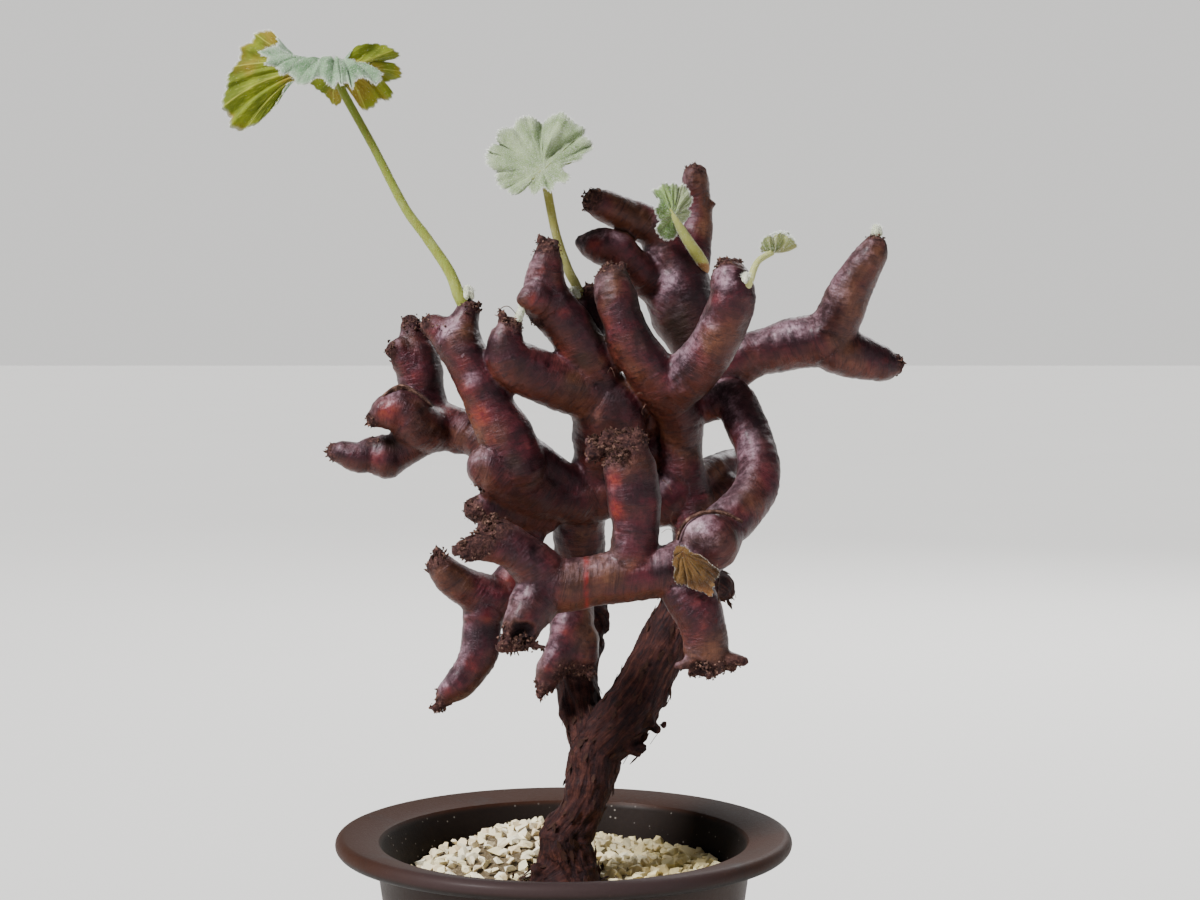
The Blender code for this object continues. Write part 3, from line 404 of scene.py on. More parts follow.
# Each limb's stations from its foot to its tip.
stemLimbs = {
    "trunk": [
        (1, 58, -8, 7.5), (1, 70, -8, 9.4), (0.4, 79, -8, 9.9), (0.7, 83.2, -8, 8.2), (0.1, 87.9, -8, 6.8),
        (-0.5, 91, -8, 6.4), (2.5, 95, -7, 6), (5.2, 100, -6, 5.8), (6.8, 105, -5, 6.4),
        (7.3, 110, -4, 6.9), (8.5, 114.5, -3, 7), (11, 118, -2.5, 7.5), (15.5, 123, -2, 7.3),
        (20, 129.5, -1, 7.3), (23.5, 137, 0, 7), (27.5, 145, 1.5, 6.8), (31.5, 153, 3, 6.6),
        (34.5, 160, 4, 6.4), (35.5, 167, 5, 6.4), (34.5, 175, 5, 6.4), (32.5, 183, 5, 6.2),
        (31, 190, 4, 5.9), (30.5, 195, 4, 5.8), (30, 203, 0, 6.3), (27, 209, -4, 7),
    ],
    "rear_left_stem": [
        (6, 117, -1, 5), (4.6, 126, 4, 5.6), (3.5, 135, 8, 5.6), (4.5, 145, 11, 5.8), (5.5, 155, 12, 6),
        (4.5, 165, 12, 6.5), (4, 173, 10, 7), (6, 182, 8, 7),
    ],
    "hub": [(6, 181, 4, 7), (14, 182, 4, 6.5), (19, 180, 6, 7), (26, 180.5, 5, 7), (30, 183, 4, 6)],
    "crown_stem": [
        (6, 182, 6, 7.5), (9, 190, 4, 7), (11, 197, 2, 9.2), (12, 203, 0, 10.2), (11, 208, 0, 9.2),
    ],
    "crown_bridge": [(13, 200, 8, 6), (28, 205, 4, 6)],
    "crown_rear_web": [(12, 187, 11, 6), (20, 191, 11, 6), (27, 197, 9, 6)],
    "crown_left": [
        (8, 208, -2, 7.5), (0, 210.5, -6, 7.2), (-8, 213.5, -10, 7), (-13.5, 217, -13, 6.4),
        (-15, 222, -14, 5), (-13.4, 226.4, -14, 3),
    ],
    "crown_middle": [
        (10, 212, -3, 6), (5.6, 219, -6, 6.6), (1.2, 226, -8, 6.3), (-4.2, 232.6, -9, 6.4),
        (-4.8, 239.6, -10, 5), (-4.2, 243.6, -10, 4), (-4, 246, -10, 3),
    ],
    "crown_middle_ear": [(-4, 232, -9, 5), (-8, 233, -14, 4.8), (-11.2, 232.6, -16, 1.8)],
    "crown_dark_stub": [(5, 219, 0, 4.5), (6.8, 225, 2, 4.4), (7.3, 230, 2, 4.2), (6.5, 234.5, 2, 3.5)],
    "fork_left": [
        (27, 209, -5, 7), (23, 214, -8, 6.5), (18.6, 220, -10, 6.2), (15.6, 227, -11, 5.5),
        (13.6, 233.6, -10, 5.6), (12.6, 238.2, -8, 4.8),
    ],
    "fork_right": [
        (27, 209, -5, 7), (33, 213.5, -9, 6.8), (38.5, 220, -13, 6.5), (42, 227, -16, 6.4),
        (44, 233.6, -18, 6.2), (43.2, 238.8, -17, 5.4),
    ],
    "rear_mass": [
        (30, 205, 8, 6.5), (36, 213, 12, 6.3), (35.5, 219, 14, 7.2), (34, 224.5, 15, 8.4),
        (31, 230.5, 16, 9.2), (29.5, 238, 17, 8.4), (27.5, 243, 17, 7), (25.5, 250, 16, 6),
        (20, 252.7, 14.5, 5), (12, 256.5, 12, 4.3), (7.4, 258.6, 10, 3.4),
    ],
    "rear_web": [(24, 232.6, 14, 4), (27, 236, 15, 5)],
    "rear_upright": [
        (33, 243, 18, 5.5), (34.9, 250, 20, 4), (35.2, 256, 21, 3.6), (34.3, 262.5, 21, 3.8),
        (34.3, 266.2, 20, 2.8),
    ],
    "rear_upright_stub": [(35.8, 257.6, 21, 2), (39.2, 257.6, 20, 1.1)],
    "rear_beak": [
        (27, 234, 16, 4.5), (22, 237.5, 14, 4.6), (18, 241.5, 11, 4.8), (14, 245.5, 9, 5.3),
        (10, 246.5, 8, 5), (6.5, 247.2, 8, 3.8), (4.2, 247.9, 8, 2),
    ],
    "right_arm": [
        (38, 214, 6, 6), (46, 217.5, 6, 6), (50, 218.7, 6, 6.2), (55, 220, 6, 6.5), (60, 221.2, 5.5, 6.9),
        (65, 222, 5, 7), (69, 222.5, 4, 7.2),
    ],
    "right_arm_up": [
        (69, 222.5, 4, 7), (71.5, 228, 3, 6.2), (74.5, 235, 2, 5.6), (78, 241, 1, 5), (80.4, 245.2, 0, 4.2),
        (81.3, 247.6, 0, 2.8),
    ],
    "right_arm_out": [
        (70, 219.5, 4, 6), (75, 218.5, 5, 6), (80, 217, 6, 5.2), (84, 215.8, 7, 4.6), (87, 216, 7, 2.8),
    ],
    "right_arm_knot": [(48, 214, 5, 4), (47, 211.5, 5, 2)],
    "front_loop": [
        (33, 205, 4, 5), (38, 205.5, 3, 4.6), (42, 206.5, 1, 4.8), (44.5, 207.5, 0, 5),
        (47.5, 200.5, -3, 5.8), (49.7, 195, -6, 5.4), (51, 189.5, -10, 5.7), (50.3, 183.5, -14, 6),
        (46.4, 177.8, -18, 6.2), (41, 173, -21, 6.4), (36.5, 169, -24, 7.2),
    ],
    "front_bulb": [(41, 172, -22, 6.6), (38.6, 169.8, -26, 7.8), (38, 169.2, -29.5, 8.2)],
    "front_branch": [
        (36, 166, -26, 7.2), (30, 162.5, -28, 7), (23, 161, -28, 6.9), (15, 160.3, -28, 7),
        (7, 159, -28, 6.8), (0, 158, -28, 7), (-5, 158.5, -28, 7.2),
    ],
    "front_stump": [
        (18, 162, -28, 6.5), (18.5, 168, -28, 6.2), (18.9, 175, -28, 6.4), (18.4, 180, -28, 7.1),
        (18, 185, -28, 7), (17.3, 189, -28, 7), (16.5, 192.5, -28, 6), (14.8, 195.5, -28, 4),
    ],
    "front_finger": [
        (-5, 160, -28, 7), (-9, 164.5, -29, 6.3), (-14, 168.5, -30, 5.5), (-17.6, 171.6, -31, 4.5),
    ],
    "front_finger_low": [(-14, 167, -31, 4.5), (-20, 168, -33, 4), (-24.6, 168, -34, 3.2)],
    "front_spur": [
        (-5, 158, -28, 7), (-8, 153, -30, 6.5), (-10.5, 148.5, -32, 5.5), (-11.5, 145.6, -33, 4.8),
    ],
    "front_stub": [
        (31, 161, -28, 7), (33, 155, -29, 7), (35.7, 150, -30, 6.4), (37.2, 145, -30, 6),
        (37.5, 140, -30, 5.8), (37.9, 136.6, -30, 4.6),
    ],
    "left_arm": [
        (6, 181, 4, 7), (-2, 181.5, 0, 7), (-10, 184, -5, 7.3), (-17, 187.5, -9, 7.3),
        (-20.5, 189, -11, 6.5), (-22, 188.8, -11, 5.3),
    ],
    "left_web": [(-11, 192, -6, 6.5), (-3, 187, -2, 5.5), (2, 184, 1, 5)],
    "left_upright": [
        (-12, 188, -8, 8.3), (-14.5, 196, -9, 7.5), (-18.5, 203.5, -9, 6.6), (-22, 211, -9, 6.2),
        (-25.5, 218, -9, 6), (-28, 223, -8, 6.3),
    ],
    "left_horn_outer": [(-29, 223, -8, 5), (-33, 225.3, -8, 3.6), (-35.6, 226.4, -8, 2.6)],
    "left_horn_inner": [(-27, 224, -8, 5.2), (-25, 229, -8, 3.5), (-24.4, 231, -8, 3)],
    "far_left_arm": [(-14, 190, 2, 5.5), (-22, 196.5, 5, 5.5), (-29, 199, 7, 6), (-35, 201, 8, 6.2)],
    "far_left_up": [
        (-35, 201, 8, 6), (-36.5, 207.5, 9, 5.8), (-37.5, 213.5, 9, 6.3), (-38.4, 219, 9, 5.4),
        (-39, 223.6, 9, 4), (-40.2, 227.4, 9, 2.2),
    ],
    "far_left_up_side": [(-40, 216, 8, 4.8), (-43.5, 220, 6, 3.2), (-45.2, 219.2, 5, 1.7)],
    "far_left_lobe": [
        (-33, 199, 6, 6.2), (-37.5, 199.5, 2, 6.6), (-42, 203.5, 0, 6.8), (-46.5, 203, -2, 5),
        (-50, 201.4, -3, 2.3),
    ],
    "far_left_low": [
        (-37, 197, 4, 5.2), (-43, 193.5, 4, 5), (-47.3, 191.8, 3, 6), (-50.3, 192.5, 3, 4.6),
        (-53.5, 191.5, 2, 4.4), (-58, 193, 2, 3.3), (-60.6, 193.3, 2, 2.2),
    ],
    "far_left_bump": [(-29, 196.5, 6, 4.4), (-27.6, 194.2, 6, 2.6)],
    "low_left_spur": [
        (-4, 176, 2, 4.5), (-10, 177, -2, 4), (-16, 178, -5, 3.9), (-21, 178, -7, 4.2), (-24.2, 178, -8, 3),
    ],
    "low_left_branch": [
        (-6, 178, 3, 5), (-9.5, 171, 2, 4.6), (-11.5, 163, 0, 5), (-16, 155.5, -3, 6), (-20, 153, -5, 6.3),
        (-21.5, 146.5, -6, 5.2), (-22.3, 140, -7, 5.2), (-27, 132.5, -8, 4.4), (-30.5, 129.5, -8, 3.4),
        (-32, 127.8, -8, 2.4),
    ],
    "low_left_arm": [
        (-18, 154.5, -5, 6), (-27, 158.3, -8, 4.9), (-31.5, 162, -10, 4.2), (-33, 164.2, -10, 3.3),
    ],
    "low_left_thorn": [(-32.8, 164, -10, 2.4), (-33, 167.6, -10, 1)],
    "middle_spur_left": [
        (3, 153, 2, 5), (2, 147, -2, 6), (0, 141.5, -4, 4.6), (-3.5, 136, -5, 3.9), (-4.9, 131.8, -5, 2.9),
    ],
    "middle_spur_right": [(2, 148, -1, 5), (4.5, 144, -2, 5), (4.7, 139, -3, 4.3), (4.5, 137, -3, 3.3)],
    "root_left": [(-3, 81, -11, 4.5), (-6.2, 79.6, -12.5, 3.4), (-8, 78.4, -13, 2.2)],
    "stem_knot": [(6, 152, 9, 4), (10, 149.5, 10, 2.6), (10.9, 146, 10, 1.6)],
    "trunk_knot": [(36, 160, 4, 4), (41, 158, 6, 4), (43, 155.6, 7, 2.8)],
    "middle_right_arm": [(33, 184, 6, 5), (39, 187.5, 12, 4.6), (44, 189.5, 20, 4.4), (47.5, 190, 27, 3.4)],
    "middle_right_web": [(34, 178, 7, 5.5), (39.6, 180.6, 9, 5.6), (43, 183.4, 12, 5.4)],
    "rear_arm": [(12, 183, 10, 6.5), (14, 186, 22, 6), (12, 192, 32, 5.5), (10, 197, 40, 4.5)],
    "rear_crown": [(29, 232, 18, 7), (31, 236, 28, 6), (33, 238, 36, 5), (31, 234, 43, 4)],
    "rear_left_arm": [(5, 180, 14, 6), (-3, 182, 24, 5.5), (-10, 185, 33, 5), (-14, 188, 40, 4)],
}

stem = {
    "seed": 5, "voxel": 0.6, "triangles": 190000, "softening": 7,
    # Bark fades out below barkTop and near the gravel; the roughnesses are heights in millimetres.
    "barkTop": 172, "barkFade": 14, "barkFoot": 80, "barkRoughness": 0.75, "skinRoughness": 0.28,
    # Heights in millimetres of what stands on the surface.
    "relief": {
        "wrinkle": 0.15, "seam": 0.22, "swell": 0.3, "plate": 0.42, "fold": 0.8, "crust": 0.34, "scar": 0.2,
    },
    # Broken rings where leaves once sat.
    "seams": {"apart": 5.2, "width": 0.22, "waver": 1.3},
    # Torn flaps on the ends of the front stub and the front spur.
    "flaps": [
        [(40, 139.4, -31, 2.2), (44.5, 138.4, -32, 1.9), (48, 138, -32, 1.2)],
        [(42, 137.4, -29, 1.7), (45, 136.4, -29, 1.3)],
        [(36, 139, -34, 1.8), (37.6, 135.2, -35, 1.6), (38.2, 133.4, -35, 1)],
        [(34, 138.4, -32, 2), (31.4, 137, -32, 1.5), (29.2, 136.6, -32, 1)],
        [(38, 137.4, -26.4, 1.8), (38.4, 134.6, -25.4, 1.2)],
        [(34.6, 136.4, -28, 1.8), (33.4, 134.6, -28, 1.2)],
        [(-9, 142.8, -35, 1.2), (-6.4, 141.6, -35.6, 0.8), (-5, 141.8, -35.6, 0.5)],
        [(-12.4, 142.4, -35, 1.1), (-12.6, 140.6, -35.4, 0.6)],
    ],
    # Dry tips: (across, up, depth), spread, size of a crumb, number of crumbs.
    "crumbs": [
        ((15.5, 196.5, -28), (5, 2, 4), 1.7, 16), ((8.5, 193, -28), (2.5, 3, 3), 1.5, 8),
        ((-19.5, 173.5, -31), (2.5, 2.5, 3), 1.6, 10), ((-26.5, 168.2, -34), (2, 2.5, 2), 1.5, 8),
        ((-12.5, 143.5, -33), (4, 2, 4), 1.5, 12), ((-14.4, 228, -14), (2, 1.6, 2), 1.2, 6),
        ((-4, 247.2, -10), (2.6, 1.4, 2.4), 1.4, 9), ((12.4, 240.6, -8), (3, 1.2, 3), 1.3, 7),
        ((43, 241.6, -17), (3.4, 1.4, 3.4), 1.4, 9), ((-5, 130.6, -5), (2, 1.6, 2), 1.3, 7),
        ((4.6, 135.6, -3), (2.6, 1.4, 2.5), 1.3, 7), ((-33.4, 126.4, -8), (2, 1.5, 2), 1.2, 5),
        ((46, 189.8, 30), (2, 2, 2), 1.3, 5), ((9.6, 199, 43), (2.5, 2.5, 2), 1.4, 7),
        ((31, 232.6, 46), (2.5, 2.5, 2), 1.4, 6), ((-15.4, 189.4, 43), (2, 2, 2), 1.4, 6),
        ((18.6, 116, -4), (2, 3, 4), 1.6, 12), ((24.4, 124, -3), (2.6, 4, 4), 1.6, 14),
        ((-6, 81.4, -12.5), (2, 2, 2), 1.4, 12),
    ],
    # Separate clods on the torn ends: (across, up, depth), spread, sizes, number of clods.
    "clods": [
        ((8.6, 196.2, -29), (1.4, 1.4, 1.4), (0.7, 1.3), 9), ((12, 194.6, -30), (2.4, 2, 2), (0.7, 1.5), 12),
        ((14.6, 197.6, -29), (1.6, 1.2, 1.6), (0.7, 1.3), 9), ((18.6, 196, -30), (2.2, 1.6, 2), (0.6, 1), 8),
        ((14, 192, -34), (3, 2.4, 1.6), (0.5, 1.1), 16),
        ((-19, 175, -32), (2.4, 2, 2), (0.6, 1.3), 16), ((-22, 171, -33), (2.4, 2, 2), (0.5, 1.2), 14),
        ((-26.6, 168.4, -35), (1.6, 1.8, 2), (0.5, 1), 10), ((-11.6, 143, -36), (3.4, 1.6, 2), (0.5, 1), 12),
        ((-9.4, 141.4, -35), (2.4, 1, 2), (0.4, 1), 8), ((38, 137.4, -33), (4.6, 1.6, 3), (0.5, 1.1), 18),
        ((-4.4, 247, -11), (2.4, 1, 2), (0.4, 0.9), 10), ((43, 241.4, -19), (3, 1, 2.4), (0.4, 0.8), 10),
        ((12.4, 240, -10), (2.4, 1, 2), (0.4, 0.8), 8), ((-24.4, 230.6, -10), (2.2, 1.6, 2), (0.4, 1), 12),
        ((-31.6, 224.6, -11), (3.4, 1.6, 2), (0.4, 0.9), 12), ((-14, 227, -16), (2, 1.6, 2), (0.4, 0.9), 10),
        ((-39.6, 226, 7), (2.2, 1.8, 2), (0.4, 0.9), 10), ((6.4, 259, 8), (1.6, 1.6, 2), (0.4, 0.9), 10),
    ],
    # Limbs with rough bark below barkTop; the others keep their smooth skin.
    "barky": ["trunk", "rear_left_stem", "stem_knot", "trunk_knot", "root_left"],
    # How far back from its end each limb is dry and dark.
    "crusts": {
        "crown_left": 3, "crown_middle": 5, "crown_dark_stub": 4, "fork_left": 3, "fork_right": 1.6,
        "rear_mass": 4, "rear_upright": 2.4, "right_arm_up": 2.2, "right_arm_out": 2.4,
        "front_stump": 8.5, "front_finger": 4.2, "front_finger_low": 3.4, "front_spur": 4.5,
        "front_stub": 5.5, "left_horn_outer": 3, "left_horn_inner": 2.6, "far_left_up": 3.6,
        "far_left_up_side": 2, "far_left_lobe": 2, "far_left_low": 2.4, "low_left_spur": 4.6,
        "low_left_branch": 3, "low_left_arm": 3.4, "low_left_thorn": 2, "middle_spur_left": 3,
        "middle_spur_right": 4, "middle_right_arm": 3, "rear_arm": 3, "rear_crown": 3,
        "rear_left_arm": 3,
    },
    # Red patches where light comes through: (across, up, depth), size, strength.
    "glows": [
        ((-46, 204.5, -6), 5, 0.75),
        ((-21, 203, -13), 5, 0.9), ((-24, 209, -13), 4, 0.8), ((-26, 216, -13), 3.6, 0.7),
        ((-19, 197, -15), 4, 0.5), ((12.6, 178, -33), 4.4, 0.9), ((13, 171, -33), 3.6, 0.5),
        ((-8, 233, -19), 3, 0.7), ((0, 229, -14), 3.4, 0.5), ((-5.4, 240, -13), 2.6, 0.6),
        ((39.5, 233, -22), 2.8, 0.7), ((37, 225, -20), 3, 0.4), ((-43, 201, -5), 3.6, 0.5),
        ((-48.6, 191.4, -1), 4, 0.6), ((-38, 212, 4), 3.6, 0.5), ((-15, 160, -6), 4.4, 0.6),
        ((-19.6, 150, -11), 3.6, 0.6), ((-24, 137, -12), 3.6, 0.5), ((8, 247, 3), 3.6, 0.7),
        ((28, 165, -34), 4, 0.3), ((35, 154, -35), 3.6, 0.4), ((37, 147, -36), 3, 0.4),
        ((84, 217, 2), 3, 0.4), ((17, 227, -15), 3, 0.3), ((-16, 166, -33), 3, 0.5),
        ((0, 146, -9), 3.4, 0.5), ((-4, 136, -8), 2.6, 0.5), ((-31, 130, -11), 2.6, 0.5),
        ((-9, 216, -15), 3.4, 0.4), ((20, 188, -35), 3, 0.3), ((11.4, 186, -34), 4.4, 1),
    ],
    # The key light comes from this way: painted highlights go on the sides that face it and painted shade on
    # the sides that face away.
    "paleFlank": Vector((-0.62, -0.42, 0.66)),
    # Spots of painted lilac highlight, and dark olive patches that are partly the skin's own tone and partly
    # painted shade: (across, up, depth), size, strength.
    "highlightSpots": [
        ((-3.5, 244, -10), 3.2, 0.7), ((-3, 237.5, -13), 2.2, 0.9), ((3.4, 237, -15), 2, 1),
        ((3, 229.5, -15), 2.6, 0.7), ((8, 222, -15), 3.4, 0.9), ((13, 214, -14), 3, 0.7),
        ((15, 250, 4), 4, 0.9), ((23, 244, 8), 5, 0.9), ((28, 238, 8), 3.4, 1),
        ((20.5, 222, -15), 3.2, 1), ((23.5, 214, -14), 3.4, 0.7), ((31.5, 209, -14), 4.4, 0.9),
        ((38, 214.5, -18), 3.6, 0.7), ((43, 238, -22), 3.4, 0.7), ((39.5, 226, -21), 3, 0.5),
        ((-24, 212, -15), 3, 0.9), ((-19, 204, -17), 2.6, 0.7), ((-15, 196, -22), 3.6, 1),
        ((-9, 190, -24), 3.4, 0.8), ((-18, 184, -26), 4.4, 1), ((-29, 224, -12), 3.4, 0.8),
        ((-4, 227, -17), 2.4, 0.6), ((5, 168, -33), 2.6, 0.5), ((-4, 168, -36), 3.4, 1),
        ((-6, 162, -38), 3.4, 0.9), ((-15, 162, -32), 3, 0.9), ((-22, 166, -32), 3, 0.6),
        ((-9, 151, -40), 2.8, 0.8), ((13, 171, -37), 2.6, 0.6), ((-31, 149, -18), 3, 0.7),
        ((18, 170, -36), 3, 0.6), ((-34, 133, -12), 3, 0.8), ((-2, 152, -12), 3.2, 0.9),
        ((37, 170, -37), 6, 1), ((34.5, 172.5, -34), 4, 1), ((-43, 206, -5), 3, 0.5),
        ((74, 233, -2), 4, 0.5), ((60, 224.5, -1), 4, 0.5), ((80, 243, -3), 3, 0.6),
    ],
    "darkAndShadePatches": [
        ((13.5, 240, -8), 6, 1), ((15.5, 231, -9), 7, 0.9), ((10, 226, -8), 6, 0.9),
        ((5, 217, -12), 5, 0.6), ((13, 205, -10), 8, 0.3), ((-25.5, 207, -14), 4, 0.5),
        ((-13, 190, -18), 4.5, 0.7), ((0, 205, -16), 4, 0.5), ((30, 226, 8), 9, 0.7),
        ((-2, 212.5, -20), 4, 0.5), ((50, 203, 8), 6, 0.7), ((10, 183, -24), 7, 0.7),
        ((-7, 158, -24), 4, 0.5), ((26, 190, -20), 6, 0.5), ((-45, 195, 0), 5, 0.5),
    ],
    # Hollows in the dry ends, whose insides get painted shade: (across, up, depth), radius, depth of the
    # hollow.
    "pits": [
        ((-10.8, 145.2, -37), 3.4, 3.2), ((36.5, 136.2, -34), 3, 1.4), ((-0.4, 143.5, -10), 1.7, 0.9),
        ((34.6, 263, 17.2), 1, 0.4), ((-14.6, 227.6, -16), 1.2, 0.8), ((-36, 202.6, 1), 1.1, 0.4),
    ],
    # Old leaf scars with rings round them: (across, up, depth), reach; and how far the rings are apart.
    "scars": [
        ((45.6, 234.6, -23), 3.6), ((34.6, 263, 17.2), 3), ((18.6, 190.6, -35), 3.4),
        ((-22.5, 188.6, -17), 3.4), ((81, 216, 1), 2.6), ((-40, 203, -7), 2.8),
    ],
    "scarRings": 1.15,
    # One red band goes round the front branch.
    "band": {"at": (6, 159, -28), "width": 0.42, "reach": 9},
    # Loose fibres that hang from the skin, as stations with radius.
    "fibres": [
        [(-16, 227, -15, 0.16), (-16.6, 230, -15.4, 0.14), (-14.4, 231, -15, 0.12), (-12, 228.6, -14.6, 0.1)],
        [(18, 206.6, -9, 0.12), (19.6, 208.4, -11.4, 0.1), (22, 207.6, -11, 0.09), (23.4, 205.2, -10, 0.07)],
        [(26, 185.6, -3, 0.12), (27.4, 184.4, -5, 0.1), (28.4, 181.8, -5.6, 0.07)],
        [(11.4, 213.6, -9.6, 0.12), (12.4, 215, -11.4, 0.1), (13.4, 212.6, -11.6, 0.07)],
        [(21.4, 205.6, -9.4, 0.1), (20.4, 203.4, -11, 0.09), (21.8, 201.8, -10.4, 0.06)],
        [(29.7, 169.9, -31, 0.4), (30.8, 173, -31, 0.5), (33.4, 175.9, -30.6, 0.5),
         (37.8, 177.35, -30.4, 0.5), (42.5, 176.8, -30.4, 0.5), (46.9, 174.6, -30.4, 0.4)],
        [(40.1, 163.9, -35, 0.3), (40.6, 160.4, -36, 0.3), (40.4, 156.8, -36, 0.26),
         (40.8, 153.3, -35.6, 0.2)],
        [(-51.2, 201.2, -3.4, 0.4), (-49.9, 203.6, -3.6, 0.6), (-46.5, 207.8, -3.2, 0.7),
         (-42.1, 210.1, -2.4, 0.7), (-37.2, 207.4, -2, 0.6), (-34.2, 204.9, -1.4, 0.4)],
        [(30.4, 171, -32, 0.08), (27.6, 172.8, -33, 0.07), (25.6, 171.8, -33.4, 0.05)],
        [(30, 172.4, -31, 0.07), (28, 175, -32, 0.06), (28.6, 177.4, -32, 0.05)],
    ],
    "tones": {
        "maroon": [
            (0.39, (0.007, 0.002, 0.003)), (0.47, (0.026, 0.0046, 0.0072)),
            (0.55, (0.07, 0.01, 0.015)), (0.64, (0.15, 0.0215, 0.023)),
        ],
        "brown": [
            (0.39, (0.007, 0.0032, 0.002)), (0.47, (0.024, 0.0094, 0.0052)),
            (0.55, (0.06, 0.0225, 0.0115)), (0.64, (0.125, 0.05, 0.025)),
        ],
        "woody": [
            (0.38, (0.0045, 0.0016, 0.0013)), (0.47, (0.016, 0.005, 0.0034)),
            (0.56, (0.042, 0.0125, 0.0078)), (0.68, (0.1, 0.036, 0.022)),
        ],
        "dry": [
            (0.38, (0.007, 0.003, 0.003)), (0.5, (0.046, 0.018, 0.014)),
            (0.62, (0.14, 0.064, 0.05)), (0.74, (0.32, 0.19, 0.16)),
        ],
        # A painted warm reflection on the lower sides.
        "under": ((0.05, 0.013, 0.007), (0.2, 0.056, 0.024)),
        "glow": ((0.22, 0.013, 0.02), (0.32, 0.045, 0.02)),
        # A grey cast on the tops, partly the skin's own tone and partly a painted highlight.
        "grey": ((0.15, 0.064, 0.084), (0.11, 0.08, 0.048)),
        # Painted lilac highlight.
        "wax": ((0.21, 0.098, 0.145), (0.54, 0.39, 0.46)),
        # Dark olive patches, partly the skin's own tone and partly painted shade.
        "moss": ((0.005, 0.0035, 0.0025), (0.026, 0.019, 0.008)),
        "shade": (0.011, 0.005, 0.0038), "line": (0.008, 0.003, 0.004), "pore": (0.24, 0.12, 0.12),
        "pit": (0.006, 0.003, 0.003), "seam": (0.01, 0.005, 0.005), "band": (0.22, 0.012, 0.009),
        # The hollow tone is painted shade inside the hollows.
        "fleck": (0.15, 0.06, 0.042), "hollow": (0.004, 0.002, 0.002), "gloss": (1, 0.72, 0.84),
    },
}


def tipOf(limbName):
    line = route(stemLimbs[limbName])
    end, radius = line[-1]
    return end, (end - line[-3][0]).normalized(), radius


def addCrumbs(bm, rng, place, spread, size, count):
    centre, _ = sighted(*place)
    for _ in range(count):
        offset = offsetWithin(rng, spread, 1)
        stretch = Vector([size * rng.uniform(0.55, 1.25) for _ in range(3)])
        turn = Matrix.Rotation(rng.uniform(0, tau), 4, Vector((rng.random(), rng.random(), 1)))
        matrix = Matrix.Translation((centre + offset) * mm) @ turn @ Matrix.Diagonal((*stretch, 1))
        bmesh.ops.create_icosphere(bm, subdivisions=2, radius=mm, matrix=matrix)


def dropPockets(piece):
    # Keeps the largest shell: a remesh can seal small pockets inside the joints.
    choose(piece)
    bm = bmesh.new()
    bm.from_mesh(piece.data)
    unseen = set(bm.verts)
    shells = []
    while unseen:
        stack = [unseen.pop()]
        shell = list(stack)
        while stack:
            for edge in stack.pop().link_edges:
                for vert in edge.verts:
                    if vert in unseen:
                        unseen.remove(vert)
                        stack.append(vert)
                        shell.append(vert)
        shells.append(shell)
    shells.sort(key=len)
    for shell in shells[:-1]:
        bmesh.ops.delete(bm, geom=shell, context="VERTS")
    bm.to_mesh(piece.data)
    bm.free()


def sampleLimbs():
    # Points every millimetre or so along each limb, with what the surface needs to know there,
    # and a tree that finds the nearest ones.
    samples = []
    for name, stations in stemLimbs.items():
        line = route(stations, spacing=1)
        along = 0
        for i, (place, radius) in enumerate(line):
            ahead = line[min(i + 1, len(line) - 1)][0]
            behind = line[max(i - 1, 0)][0]
            along += (place - behind).length
            isBarky = 1 if name in stem["barky"] else 0
            samples.append((place, radius, (ahead - behind).normalized(), along, isBarky))
    tree = kdtree.KDTree(len(samples))
    for i, sample in enumerate(samples):
        tree.insert(sample[0], i)
    tree.balance()
    return samples, tree


def nearestLimb(place, limbs):
    samples, tree = limbs
    found = tree.find_n(place, 5)
    return min((samples[i] for _, i, _ in found), key=lambda s: (place - s[0]).length - s[1])


def aroundLimb(place, limb):
    # How far along the limb the place lies, and which way it faces from the limb's middle.
    axis, _, direction, along, _ = limb
    offset = place - axis
    forward = offset.dot(direction)
    return along + forward, (offset - direction * forward).normalized()


def crustAt(place, tips):
    most = 0
    for end, direction, length, radius in tips:
        offset = place - end
        if offset.length < length * 1.6 + radius:
            back = -offset.dot(direction)
            aside = (offset + direction * back).length
            uneven = 1.4 * smoothNoise(place, 2.2)
            near = (1 - step(radius * 1.5, radius * 2.1, aside)) * step(-radius * 0.9, -radius * 0.35, back)
            most = max(most, near * (1 - step(length * 0.35, length * 1.15, back + uneven)))
    return most


def patchAt(place, patches):
    most = 0
    for centre, size, strength in patches:
        distance = (place - centre).length
        if distance < size * 2:
            most = max(most, strength * exp(-(distance / size) ** 2 * 1.3))
    return most


def barkAt(place, limb):
    low = min(max((stem["barkTop"] - place.z) / stem["barkFade"], 0), 1)
    return low * limb[4]


def seamAt(place, limb):
    seams = stem["seams"]
    along, outward = aroundLimb(place, limb)
    shifted = along + seams["waver"] * noise.noise(outward * 1.1 + Vector((0, 0, along / 9)))
    fromSeam = shifted % seams["apart"] - seams["apart"] / 2
    unbroken = step(-0.05, 0.35, noise.noise(outward * 1.6 + Vector((along / 6, 3, 0))))
    return exp(-(fromSeam / seams["width"]) ** 2) * unbroken


def marksAt(place, pits, scars):
    # How deep the place lies in a hollow, and the rings round an old scar.
    hollow = 0
    rings = 0
    for centre, radius, depth in pits:
        share = (place - centre).length / (radius * (1 + 0.25 * smoothNoise(place, 1.4)))
        if share < 1:
            hollow = max(hollow, depth * (1 - share ** 3))
    for centre, reach in scars:
        share = (place - centre).length / reach
        if share < 1:
            wave = 0.5 + 0.5 * cos(tau * share * reach / stem["scarRings"])
            rings = max(rings, (1 - share ** 2) * wave)
    return hollow, rings


